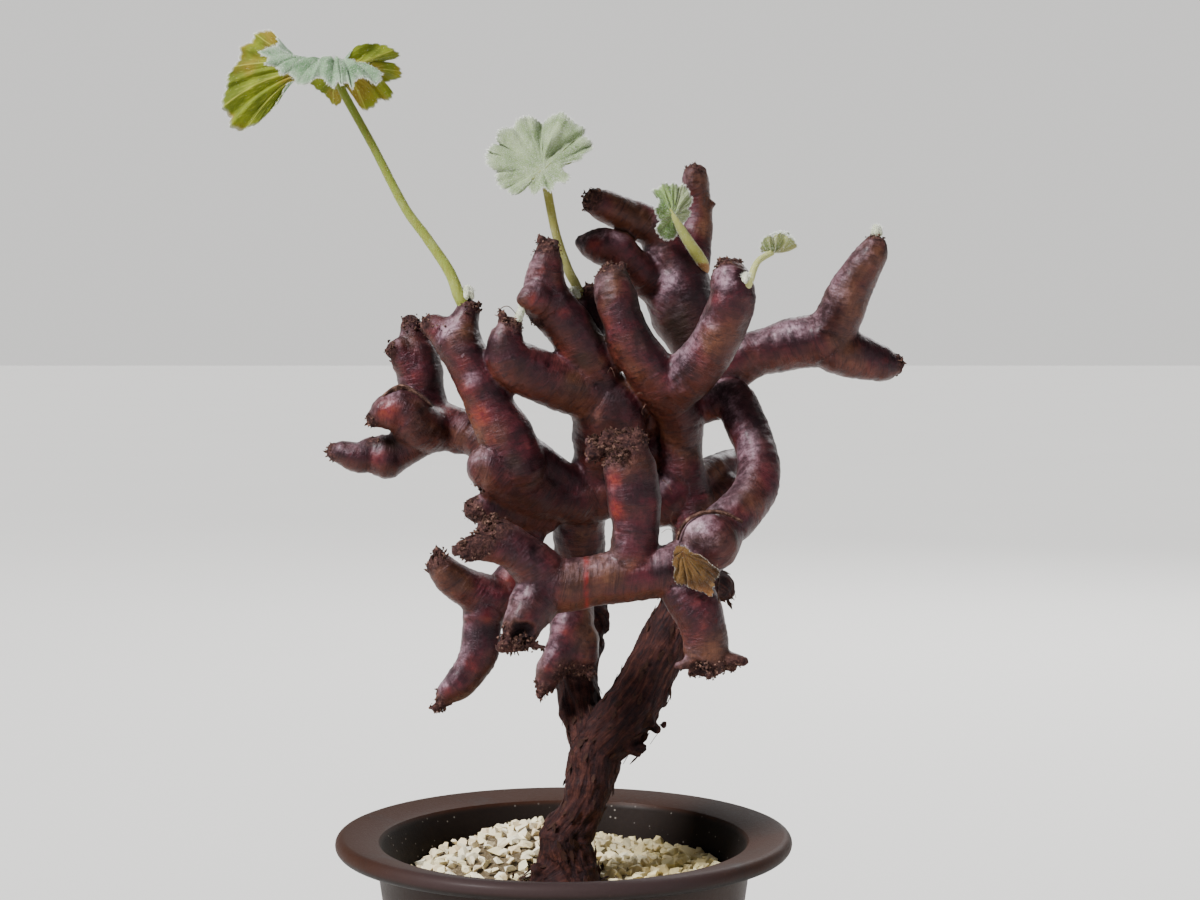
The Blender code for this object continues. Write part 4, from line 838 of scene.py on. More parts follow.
def stemRelief(place, limb, crust, marks):
    relief = stem["relief"]
    bark = barkAt(place, limb)
    along, outward = aroundLimb(place, limb)
    nearGravel = min(max((place.z - stem["barkFoot"]) / 6, 0.3), 1)
    size = stem["barkRoughness"] * bark + stem["skinRoughness"] * (1 - bark)
    fine = noise.noise(Vector((place.x, place.y, place.z * 0.6)) / 2.4)
    height = size * nearGravel * (smoothNoise(place, 5.5) + 0.7 * fine)
    wound = outward * 0.8 + Vector((along / 1.15, 0, along / 40))
    wrinkle = noise.noise(wound) + 0.6 * noise.noise(wound * 2.1)
    smooth = (1 - bark) * (1 - crust)
    height += relief["wrinkle"] * smooth * wrinkle - relief["seam"] * smooth * seamAt(place, limb)
    height += relief["swell"] * smooth * smoothNoise(place + Vector((40, 0, 0)), 9)
    if bark > 0:
        twist = along * 0.035
        fibres = Matrix.Rotation(twist, 3, limb[2]) @ outward * limb[1] + Vector((0, 0, along * 0.16))
        plates = ridged(fibres, 2.3) + 0.55 * ridged(fibres, 1.1) - 0.9
        folds = smoothNoise(fibres, 4.5)
        height += bark * nearGravel * (relief["plate"] * plates + relief["fold"] * folds)
    if crust > 0:
        height += relief["crust"] * crust * (ridged(place, 1.5) + 0.6 * ridged(place, 0.8) - 0.6)
    return height - marks[0] + relief["scar"] * marks[1] * (1 - crust)


def buildStem():
    rng = random.Random(stem["seed"])
    rods = [tube(name, roundEnds(route(stations)), sides=32) for name, stations in stemLimbs.items()]
    rods += [tube("flap", roundEnds(route(stations)), sides=16) for stations in stem["flaps"]]
    bm = bmesh.new()
    for place, spread, size, count in stem["crumbs"]:
        addCrumbs(bm, rng, place, spread, size, count)
    piece = joined("stem_wood", rods + [shellPiece("crumbs", bm)])
    applyModifier(piece, "REMESH", mode="VOXEL", voxel_size=stem["voxel"] * mm)
    applyModifier(piece, "SMOOTH", factor=0.5, iterations=stem["softening"])
    dropPockets(piece)
    print("stem: remeshed,", len(piece.data.polygons), "faces")

    limbs = sampleLimbs()
    pits = placed(stem["pits"])
    scars = placed(stem["scars"])
    tips = []
    for name, length in stem["crusts"].items():
        end, direction, radius = tipOf(name)
        tips.append((end + direction * radius * 0.5, direction, length, radius + 1.5))
    normals = [Vector(v.normal) for v in piece.data.vertices]
    hollows = []
    for vert, normal in zip(piece.data.vertices, normals):
        place = Vector(vert.co) / mm
        limb = nearestLimb(place, limbs)
        marks = marksAt(place, pits, scars)
        hollows.append(min(marks[0], 1))
        vert.co = (place + normal * stemRelief(place, limb, crustAt(place, tips), marks)) * mm
    # How deep each point lies in a hollow, which the finish turns into painted shade.
    paint(piece, "hollow", hollows)
    applyModifier(piece, "TRIANGULATE", quad_method="FIXED")
    applyModifier(piece, "DECIMATE", ratio=stem["triangles"] / len(piece.data.polygons))
    print("stem: shaped,", len(piece.data.polygons), "triangles")
    paintStem(piece, limbs, tips)
    return piece, limbs, tips


def paintStem(piece, limbs, tips):
    # What the skin's finish reads at each point of the surface.
    glows, highlightSpots, darkAndShadePatches = (placed(stem[name]) for name in ("glows", "highlightSpots", "darkAndShadePatches"))
    band = stem["band"]
    bandAt = sighted(*band["at"])[0]
    # How far each point faces the key light, which the finish turns into painted highlights and painted
    # shade.
    flank = stem["paleFlank"].normalized()
    names = ("crust", "bark", "glow", "bloom", "moss", "along", "top", "flank", "seam", "band")
    values = {name: [] for name in names}
    wound = []
    for vert in piece.data.vertices:
        place = Vector(vert.co) / mm
        limb = nearestLimb(place, limbs)
        along, outward = aroundLimb(place, limb)
        aside = (place.x - bandAt.x + 0.5 * smoothNoise(place, 5)) / band["width"]
        near = (place - bandAt).length < band["reach"]
        found = (
            crustAt(place, tips), barkAt(place, limb), patchAt(place, glows), patchAt(place, highlightSpots),
            patchAt(place, darkAndShadePatches), along, vert.normal.z, vert.normal.dot(flank), seamAt(place, limb),
            exp(-aside * aside) if near else 0,
        )
        for name, value in zip(names, found):
            values[name].append(value)
        wound.extend(outward * limb[1])
    for name, found in values.items():
        paint(piece, name, found)
    paint(piece, "wound", wound, "FLOAT_VECTOR", "vector")


def stemFinish():
    tones = stem["tones"]
    skin = Finish("stem skin", Coat_Roughness=0.28, Specular_IOR_Level=0.3, Specular_Tint=tones["gloss"])
    bark, crust, glow, bloom, moss, along, top, flank = (
        skin.attribute(name) for name in ("bark", "crust", "glow", "bloom", "moss", "along", "top", "flank")
    )
    wound = skin.attribute("wound", output=1)

    patches = skin.grain(8, detail=3)
    drift = skin.grain(17)
    mottle = skin.grain(2, detail=5, roughness=0.6)
    speck = skin.grain(0.55, detail=3, roughness=0.6)
    dust = skin.grain(0.8, detail=4, roughness=0.75)
    # Two patterns that follow the limb: lines run round it and fibres along it.
    rings = skin.node("ShaderNodeCombineXYZ", None, 0, 0, along)
    quarter = (0.25, 0.25, 0.25)
    squeezed = skin.node("ShaderNodeVectorMath", {"operation": "MULTIPLY_ADD"}, wound, quarter, rings)
    lines = skin.noise(squeezed, 1.5, 5, 0.65)
    drawn = skin.node("ShaderNodeCombineXYZ", None, 0, 0, along * 0.14)
    stretched = skin.node("ShaderNodeVectorMath", {"operation": "ADD"}, wound, drawn)
    fibre = skin.noise(stretched, 0.9, 6, 0.62)
    streaks = skin.noise(stretched, 2.4, 4, 0.6)

    # Living skin: maroon and brown, with a painted warm reflection below, red where light comes through,
    # painted shade on the side away from the key light and painted lilac highlights on the side towards it.
    flow = patches * 0.34 + drift * 0.4 + streaks * 0.1 + mottle * 0.16
    colour = skin.mix(drift.within(0.46, 0.64), skin.ramp(flow, tones["maroon"]),
                      skin.ramp(flow, tones["brown"]))
    # Painted warm reflected light on the sides that face down.
    under = (-1 * top).within(-0.1, 0.8) * (0.3 + patches * 0.6)
    colour = skin.mix(under, colour, skin.mix(mottle, *tones["under"]))
    lit = (glow * (0.5 + mottle * 0.35 + patches * 0.3)).within(0.12, 1) * 0.85
    colour = skin.mix(lit, colour, skin.mix(mottle.within(0.4, 0.66), *tones["glow"]))
    # A grey cast on the tops, partly the skin's own tone and partly a painted highlight.
    greyAndSheen = (top.within(-0.3, 1) * 0.5 + patches * 0.4 + mottle * 0.35).within(0.56, 0.92) * 0.18
    colour = skin.mix(greyAndSheen * (1 - glow * 0.8), colour, skin.mix(patches, *tones["grey"]))
    # Painted shade on the sides that face away from the key light.
    colour = skin.mix((-1 * flank).within(-0.1, 0.8) * 0.55, colour, tones["shade"])
    # Painted lilac highlights on the sides that face the key light and at the listed spots, broken up by
    # noise.
    broken = 0.4 + (patches * 0.4 + mottle * 0.35 + speck * 0.25).within(0.4, 0.62) * 0.8
    paintedHighlight = (flank.within(0.5, 1) * 0.55 + bloom * flank.within(-0.1, 0.6) * 0.75) * broken
    colour = skin.mix(paintedHighlight.within(0.04, 1.1) * 0.8, colour, skin.mix(mottle, *tones["wax"]))

    # Fine marks over it.
    colour = skin.mix(lines.within(0.52, 0.66) * 0.65 * (1 - glow * 0.6), colour, tones["line"])
    colour = skin.mix(dust.within(0.62, 0.76) * 0.12, colour, tones["pore"])
    colour = skin.mix((1 - speck).within(0.6, 0.72) * 0.45, colour, tones["pit"])
    # Dark olive patches, partly the skin's own tone and partly painted shade.
    darkAndShadeMix = (moss * (0.5 + mottle * 1.2)).within(0.12, 0.8) * 0.9
    colour = skin.mix(darkAndShadeMix, colour, skin.mix(mottle, *tones["moss"]))
    colour = skin.mix(skin.attribute("seam") * 0.6, colour, tones["seam"])
    colour = skin.mix(skin.attribute("band") * 0.85, colour, tones["band"])

    # Rough bark and dry ends, and painted shade in their hollows.
    woody = skin.ramp(fibre * 0.62 + mottle * 0.38, tones["woody"])
    woody = skin.mix(dust.within(0.62, 0.76) * 0.22, woody, tones["fleck"])
    colour = skin.mix(bark, colour, woody)
    dry = skin.ramp(mottle * 0.35 + dust * 0.65, tones["dry"])
    colour = skin.mix(crust * (0.4 + mottle).within(0.2, 0.8), colour, dry)
    # Painted shade: the hollows go near black with their depth.
    colour = skin.mix(skin.attribute("hollow") * 0.93, colour, tones["hollow"])

    rough = (bark * 0.9).most(crust * 0.95).most(moss * 0.75)
    pores = skin.bump(speck * 0.5 + dust * 0.5, 0.2)
    creases = skin.bump(lines, 0.3, over=pores)
    silky = skin.bump(streaks * (1 - bark), 0.08, over=creases)
    grooves = skin.bump(fibre * bark, 0.9, over=silky)
    return skin.done(
        Base_Color=colour,
        Roughness=0.27 + mottle * 0.16 + dust * 0.1 + rough * 0.4,
        Coat_Weight=(1 - rough) * 0.08,
        Normal=skin.bump(dust * crust, 0.5, over=grooves),
    )


# Pot, soil and gravel.

pot = {
    "height": 93, "steps": 192,
    "lipRadius": 60, "lipDepth": 4.6, "lipInner": 48.4, "lipFall": 1.9, "throatRise": 3.6,
    "bodyTop": 49.6, "baseRadius": 37, "baseChamfer": 1.2,
    "throatRadius": 45.2, "throatHeight": 83, "floorRadius": 34, "floorThickness": 5,
    "drains": 5, "drainRadius": 2.5, "drainRing": 24,
    # A cone between the inner and the outer wall: its taper and the radii it has at the foot.
    "taper": 0.142, "between": (34.9, 35.7),
    "tones": {
        "base": ((0.006, 0.0042, 0.0038), (0.0125, 0.008, 0.0062)),
        # The lip's front tone is a painted highlight line.
        "rubbed": (0.036, 0.012, 0.006), "lipHighlight": (0.034, 0.026, 0.03),
        "body": (0.06, 0.026, 0.015), "dust": (0.17, 0.1, 0.065), "grit": (0.3, 0.27, 0.24),
        "gloss": (1, 0.85, 0.8),
    },
}

gravel = {
    "foot": 74.3, "edge": 79.4, "tilt": 0.04, "crown": 10, "crownAt": Vector((-11, 20)), "crownWidth": 22,
    "seed": 23, "lumpKinds": 16, "spacing": 3, "tries": 9000,
    "stoneSize": (1.55, 2.7), "stem": Vector((0.4, -8)), "stemRadius": 9.4,
    # The last tries fill in on top: from which share of them, and how much closer and smaller.
    "topFrom": 0.7, "topSpacing": 0.72, "topSize": 0.8, "sunk": 0.35, "raised": 1.25,
    "bedRings": 34, "bedColumns": 120,
    "tones": {
        "stones": [
            (0, (0.92, 0.84, 0.62)), (0.25, (0.84, 0.68, 0.42)), (0.45, (0.96, 0.91, 0.74)),
            (0.62, (0.8, 0.7, 0.42)), (0.78, (0.94, 0.84, 0.56)), (0.9, (0.72, 0.56, 0.32)),
            # The last stop is the bed's: a dark brown that paints the shade in the gaps between the stones.
            (0.98, (0.1, 0.07, 0.035)),
        ],
        # The yellow tint and the span it fades across paint the plant's shadow on the stones.
        "vein": (0.5, 0.41, 0.27), "grit": (0.92, 0.89, 0.8), "shadeYellow": (0.64, 0.53, 0.18),
        "shadeYellowAcross": (-8, 40),
    },
}

soil = {
    "tones": [(0.3, (0.01, 0.007, 0.005)), (0.5, (0.035, 0.023, 0.015)), (0.7, (0.09, 0.06, 0.04))],
}


def innerRadius(height):
    # The pot's inner wall: straight up to the throat, then wider to the lip.
    if height <= pot["throatHeight"]:
        share = (height - pot["floorThickness"]) / (pot["throatHeight"] - pot["floorThickness"])
        return pot["floorRadius"] + share * (pot["throatRadius"] - pot["floorRadius"])
    share = (height - pot["throatHeight"]) / (pot["height"] - pot["throatRise"] - pot["throatHeight"])
    return pot["throatRadius"] + share * (pot["lipInner"] - 0.8 - pot["throatRadius"])


def buildPot():
    lipRound = pot["lipDepth"] / 2
    lipMiddle = pot["height"] - lipRound
    wallTop = pot["height"] - pot["lipDepth"]
    edge = pot["height"] - pot["lipFall"]
    chamferInner = pot["baseRadius"] - pot["baseChamfer"]
    rounded = [
        (pot["lipRadius"] - lipRound + lipRound * cos(a), lipMiddle + lipRound * sin(a))
        for a in (radians(d) for d in range(-90, 91, 15))
    ]
    profile = [
        (8, 0), (chamferInner - 6, 0), (chamferInner, 0), (pot["baseRadius"], pot["baseChamfer"]),
        (pot["baseRadius"] + 0.4, 5), (pot["bodyTop"] - 1.2, wallTop - 8),
        (pot["bodyTop"] - 0.6, wallTop - 3), (pot["bodyTop"], wallTop - 1.2),
        (pot["bodyTop"] + 1.6, wallTop),
        *rounded,
        (pot["lipInner"] + 0.9, edge + 0.16), (pot["lipInner"] + 0.3, edge - 0.05),
        (pot["lipInner"], edge - 0.5), (pot["lipInner"] - 0.8, pot["height"] - pot["throatRise"]),
        (pot["throatRadius"], pot["throatHeight"]), (pot["floorRadius"] + 0.8, 7),
        (pot["floorRadius"], pot["floorThickness"]), (8, pot["floorThickness"]),
    ]
    bm = bmesh.new()
    verts = [bm.verts.new((radius * mm, 0, height * mm)) for radius, height in profile]
    for first, second in zip(verts, verts[1:]):
        bm.edges.new((first, second))
    piece = shellPiece("pot_shell", bm)
    choose(piece)
    bpy.ops.object.mode_set(mode="EDIT")
    bpy.ops.mesh.select_all(action="SELECT")
    bpy.ops.mesh.spin(steps=pot["steps"], angle=tau, center=(0, 0, 0), axis=(0, 0, 1))
    bpy.ops.mesh.select_all(action="SELECT")
    bpy.ops.mesh.remove_doubles(threshold=1e-6)
    bpy.ops.mesh.select_all(action="DESELECT")
    bpy.ops.mesh.select_non_manifold()
    bpy.ops.mesh.edge_face_add()
    turnOutwards(piece)
    for i in range(pot["drains"]):
        angle = tau * i / pot["drains"]
        bpy.ops.mesh.primitive_cylinder_add(
            vertices=32, radius=pot["drainRadius"] * mm, depth=20 * mm,
            location=(cos(angle) * pot["drainRing"] * mm, sin(angle) * pot["drainRing"] * mm, 0),
        )
        drain = bpy.context.object
        applyModifier(piece, "BOOLEAN", operation="DIFFERENCE", solver="EXACT", object=drain)
        bpy.data.objects.remove(drain)
    applyModifier(piece, "BEVEL", width=0.35 * mm, segments=2, limit_method="ANGLE",
                  angle_limit=radians(40))
    dress(piece, potFinish(), "pot", "pot")
    bpy.ops.object.shade_smooth_by_angle(angle=radians(35))
    print("pot: done")


def potFinish():
    tones = pot["tones"]
    shell = Finish("worn dark plastic", Coat_Roughness=0.3, Specular_IOR_Level=0.16,
                   Specular_Tint=tones["gloss"])
    across, deep, height = shell.parts(shell.place)
    radius = (across * across + deep * deep) ** 0.5
    cloud = shell.grain(14, detail=4)
    scuff = shell.grain(1.1, detail=5, roughness=0.7)
    near, far = pot["between"]
    outer = (radius - height * pot["taper"]).within(near * mm, far * mm)
    inner = (1 - outer) * 0.6
    onLip = height.within((pot["height"] - 3.6) * mm, (pot["height"] - 2.2) * mm)
    front = (-1 * deep).within(30 * mm, 56 * mm)
    body = (1 - height.within(82 * mm, 89 * mm)) * outer
    worn = onLip * outer * (cloud * 0.9 + scuff * 0.5).within(0.2, 0.7)
    colour = shell.mix(cloud, *tones["base"])
    colour = shell.mix(worn * 0.8, colour, tones["rubbed"])
    # Painted highlight: a grey-purple line along the front of the lip.
    colour = shell.mix(onLip * front * 0.6, colour, tones["lipHighlight"])
    colour = shell.mix(body * 0.3, colour, tones["body"])
    colour = shell.mix(scuff.within(0.6, 0.76) * onLip * 0.25, colour, tones["dust"])
    colour = shell.mix((1 - shell.cells(2.6)).within(0.86, 0.94) * inner, colour, tones["grit"])
    fine = shell.bump(shell.grain(0.35), 0.04)
    return shell.done(
        Base_Color=colour,
        Roughness=0.5 + scuff * 0.16 + worn * 0.08 + inner * 0.2,
        Coat_Weight=outer * 0.1 - worn * 0.06,
        Normal=shell.bump(scuff, 0.1, over=fine),
    )


def gravelHeight(place):
    offset = (place - gravel["crownAt"]).length / gravel["crownWidth"]
    swell = noise.noise(Vector((place.x, place.y, 0)) / 11)
    slope = gravel["edge"] + gravel["tilt"] * place.x
    return slope + gravel["crown"] * exp(-offset * offset) + 0.7 * swell


def buildBed():
    # A rough disc below the stones, so that no hole shows between them.
    rings, columns = gravel["bedRings"], gravel["bedColumns"]
    innerReach = gravel["stemRadius"] * 0.8
    outerReach = innerRadius(gravel["edge"] - 2.6) - gap
    bm = bmesh.new()
    levels = []
    for r in range(rings + 1):
        ring = []
        for c in range(columns):
            angle = tau * c / columns
            outward = Vector((cos(angle), sin(angle)))
            flat = (gravel["stem"] + outward * innerReach).lerp(outward * outerReach, r / rings)
            height = gravelHeight(flat) + 0.5 * ridged(Vector((flat.x, flat.y, 0)), 1.7) - 0.4
            ring.append(bm.verts.new((flat.x * mm, flat.y * mm, height * mm)))
        levels.append(ring)
    feet = [[bm.verts.new((v.co.x, v.co.y, gravel["foot"] * mm)) for v in ring]
            for ring in (levels[0], levels[-1])]
    loops = [feet[0], *levels, feet[1], feet[0]]
    for first, second in zip(loops, loops[1:]):
        for c in range(columns):
            bm.faces.new((first[c - 1], second[c - 1], second[c], first[c]))
    piece = shellPiece("gravel_bed", bm)
    turnOutwards(piece)
    return piece


def lumpKinds(rng):
    # Angular chips: each is the hull of a few random points.
    kinds = []
    for _ in range(gravel["lumpKinds"]):
        bm = bmesh.new()
        size = Vector((rng.uniform(0.8, 1.25), rng.uniform(0.7, 1), rng.uniform(0.5, 0.8)))
        for _ in range(rng.randint(9, 13)):
            spot = scatter(rng, 1).normalized() * rng.uniform(0.85, 1.1)
            bm.verts.new((spot.x * size.x, spot.y * size.y, spot.z * size.z))
        bmesh.ops.convex_hull(bm, input=bm.verts)
        loose = [v for v in bm.verts if not v.link_faces]
        bmesh.ops.delete(bm, geom=loose, context="VERTS")
        bm.verts.index_update()
        faces = [[v.index for v in f.verts] for f in bm.faces]
        kinds.append(([v.co.copy() for v in bm.verts], faces))
        bm.free()
    return kinds


def addLump(verts, faces, kind, centre, turn, size):
    corners, sides = kind
    start = len(verts)
    verts += [(centre + turn @ (corner * size)) * mm for corner in corners]
    faces += [[start + i for i in side] for side in sides]


def stoneSpots(rng):
    # Random places that keep apart, found by sorting them into square cells; the last ones lie on top.
    reach = innerRadius(gravel["edge"]) - 1.5
    cell = 2.5
    spots = []
    cells = {}
    for attempt in range(gravel["tries"]):
        spot = Vector((rng.uniform(-reach, reach), rng.uniform(-reach, reach)))
        toStem = (spot - gravel["stem"]).length
        if spot.length > reach or toStem < gravel["stemRadius"] + 0.4:
            continue
        column, row = int(spot.x // cell), int(spot.y // cell)
        near = [s for dx in (-1, 0, 1) for dy in (-1, 0, 1) for s in cells.get((column + dx, row + dy), [])]
        onTop = attempt >= gravel["tries"] * gravel["topFrom"]
        apart = gravel["spacing"] * (gravel["topSpacing"] if onTop else 1)
        if all((s - spot).length >= apart for s in near):
            cells.setdefault((column, row), []).append(spot)
            spots.append((spot, onTop))
    return spots


def buildGravel():
    rng = random.Random(gravel["seed"])
    kinds = lumpKinds(rng)
    spots = stoneSpots(rng)
    verts, faces, tints = [], [], []
    low, high = gravel["stoneSize"]
    for spot, onTop in spots:
        kind = kinds[rng.randrange(len(kinds))]
        size = rng.uniform(low, high) * (gravel["topSize"] if onTop else 1)
        turn = (Matrix.Rotation(rng.uniform(0, tau), 3, "Z")
                @ Matrix.Rotation(rng.gauss(0, 0.45), 3, "X") @ Matrix.Rotation(rng.gauss(0, 0.45), 3, "Y"))
        lift = gravel["raised"] if onTop else gravel["sunk"]
        height = gravelHeight(spot) + lift + rng.uniform(-0.3, 0.35)
        addLump(verts, faces, kind, Vector((spot.x, spot.y, height)), turn, size)
        tints += [rng.random() * 0.9] * len(kind[0])
    stones = listedPiece("gravel_stones", verts, faces)
    paint(stones, "tint", tints)
    bed = buildBed()
    # The bed takes the dark last stop: painted shade between the stones.
    paint(bed, "tint", [1] * len(bed.data.vertices))
    material = gravelFinish()
    dress(stones, material, "gravel", "gravel", smooth=False)
    dress(bed, material, "gravel")
    print("gravel:", len(spots), "stones,", len(faces), "faces")


def gravelFinish():
    tones = gravel["tones"]
    stone = Finish("pale stone chips", Specular_IOR_Level=0.35)
    vein = stone.grain(0.9, detail=5, roughness=0.65)
    grit = stone.grain(0.22, detail=3)
    low, high = tones["shadeYellowAcross"]
    across = stone.parts(stone.place)[0].within(low * mm, high * mm)
    colour = stone.ramp(stone.attribute("tint"), tones["stones"])
    colour = stone.mix(vein.within(0.5, 0.75) * 0.45, colour, tones["vein"])
    colour = stone.mix(grit.within(0.6, 0.72) * 0.4, colour, tones["grit"])
    # Painted shade: the stones right of the stem turn yellow, as in the plant's shadow under warm light.
    colour = stone.mix(across * 0.55, colour, tones["shadeYellow"])
    return stone.done(Base_Color=colour, Roughness=0.72 + grit * 0.2,
                      Normal=stone.bump(grit * 0.5 + vein * 0.5, 0.16))


def soilFinish():
    earth = Finish("dark soil", Roughness=0.95)
    crumb = earth.grain(1.6, detail=5, roughness=0.7)
    tone = earth.ramp(crumb * 0.7 + earth.grain(12) * 0.3, soil["tones"])
    return earth.done(Base_Color=tone, Normal=earth.bump(crumb, 0.8))


# Leaves.

# A leaf has a stalk (stations with radius), the hub that its veins leave, and a rim of
# (across, up, depth, arch), where arch lifts the blade half way between hub and rim.
# Veins run from the hub to these rim stations, and side veins leave them for their neighbours.
# Creases are (rim station, depth, width, share where it starts, stations it bends by at the hub).
# An arch or a bend of 0 is left out. Woolly is (first rim station, last one, number of hairs).
leafTall = {
    "veins": [2, 5, 10, 14, 19, 24, 31, 35, 39, 43, 47, 53, 59, 62, 66, 69],
    "upperFaces": (0, 0, 1), "scale": 1, "crumple": 0,
    "pleat": 0.7, "ridge": 0.25, "quilt": 0.14,
    "creases": [
        (8, 0.8, 0.75, 0.2), (17, 0.8, 0.75, 0.2), (28, 0.8, 0.75, 0.2), (33, 0.8, 0.75, 0.1),
        (37, 0.7, 0.75, 0.1), (41, 0.7, 0.75, 0.1), (45, 0.6, 0.75, 0.1), (56, 0.8, 0.7, 0.2),
        (61, 0.7, 0.7, 0.2), (65, 0.6, 0.7, 0.2), (67, 0.6, 0.7, 0.2),
    ],
    "hairs": {"rim": 3600, "upper": 3200, "lower": 900, "stalk": 420, "length": 0.72},
    "woolly": (51, 72, 3600),
    "tones": {
        "face": (0.25, 0.4, 0.23), "faceDeep": (0.1, 0.22, 0.09), "faceVein": (0.44, 0.56, 0.38),
        "under": (0.21, 0.25, 0.016), "underDeep": (0.1, 0.13, 0.008),
        "underVein": (0.42, 0.43, 0.07), "rust": (0.3, 0.17, 0.022), "down": 0.6,
        "stalkSpan": (235, 290), "stalkFoot": (0.27, 0.32, 0.05), "stalkTop": (0.15, 0.2, 0.02),
        "stalkStreak": (0.22, 0.16, 0.03),
    },
    "stalk": [
        (-25.4, 230.4, -8, 1.4), (-26.4, 232.2, -8.6, 1.4), (-27.3, 234, -9, 1.35), (-29.8, 240.2, -9, 1.2),
        (-35.4, 248.6, -9, 1.1), (-41.4, 257, -9, 1), (-49.3, 272.3, -9, 0.9), (-54, 280.8, -8.6, 0.9),
        (-57.6, 287.5, -8, 0.9), (-58.8, 291.3, -7.2, 0.9),
    ],
    "buds": [(-25, 234.6, -8.8, 2)],
    "hub": (-59, 291.6, -7),
    "rim": [
        (-53.4, 292.4, -9, 1), (-55.8, 294, -7.4, 0.5), (-54, 298, -6), (-50.4, 298.9, -5.4),
        (-46.6, 298.7, -4.6), (-43.8, 297.4, -3.6), (-42.3, 296, -2.8, 0.5), (-43.6, 294.9, -2, 1),
        (-46.8, 294.3, -1.4, 1), (-43.4, 293.6, -0.6, 1), (-42, 291.8, 0.4, 1), (-42.2, 290, 1.4, 1.5),
        (-44.6, 289.3, 2.2, 2), (-46.2, 288.4, 3, 2.5), (-44.4, 286.6, 2, 3), (-44.6, 284.8, 2, 3),
        (-46, 284.2, 3, 3), (-47.6, 284.7, 3, 3), (-48.8, 282.9, 3, 3), (-51.2, 281.8, 3, 3),
        (-52.8, 282.6, 2, 2.5), (-54.2, 284.8, 1, 1.5), (-56.4, 287.2, -1, 0.5), (-57.9, 283.4, 2, 0.5),
        (-59.6, 283.4, 2, 1), (-61.6, 285.6, 1, 1), (-63.6, 286.8, 0, 1), (-66, 288.6, -1, 1),
        (-68.8, 289.4, -3, 1.5), (-71.6, 288.4, -3, 3), (-73.2, 285.4, -2, 4), (-74.2, 283.2, -1, 4.5),
        (-75.6, 282, 0, 5), (-77.2, 280.2, 1, 5), (-79.8, 278, 1, 5), (-81.8, 277.3, 2, 5),
        (-83.6, 276.4, 2, 5), (-86.4, 277.5, 2, 4.5), (-86.6, 279.8, 3, 4), (-88.3, 282.4, 3, 3.5),
        (-88.3, 285.4, 3, 3), (-87, 288.4, 3, 2.5), (-87.2, 290.4, 3, 2), (-85.2, 292.8, 3, 1.5),
        (-84, 295, 3, 1), (-83.4, 298, 3), (-80.8, 299.5, 3, -1), (-79.6, 301.4, 3, -1.5),
        (-77.6, 302.2, 2, -2.4), (-75.6, 302.2, 1, -3), (-74.4, 300.2, -2, -3.4), (-74.2, 298.2, -6, -2),
        (-76, 297.9, -10), (-78.6, 296.8, -13, 1), (-76.4, 295.2, -14.6, 2), (-77, 293.4, -16, 2.5),
        (-74.4, 293, -16, 3), (-73, 290.9, -18.4, 3.3), (-71, 291.2, -18, 3.7), (-68.7, 288.6, -20, 4.2),
        (-65.8, 288.6, -20.4, 4.4), (-63.3, 290.5, -19, 4.6), (-59.9, 287.8, -21, 4.7),
        (-58.5, 289.2, -20, 4.7), (-57.5, 288.1, -21, 4.7), (-56.2, 289.3, -20, 4.6),
        (-54.7, 287.6, -21, 4.4), (-53.4, 290, -19, 4), (-50.8, 289.6, -19, 3.5), (-48.3, 288.6, -18, 3),
        (-47, 290.8, -15, 2.4), (-48.8, 291.8, -12, 1.8),
    ],
}

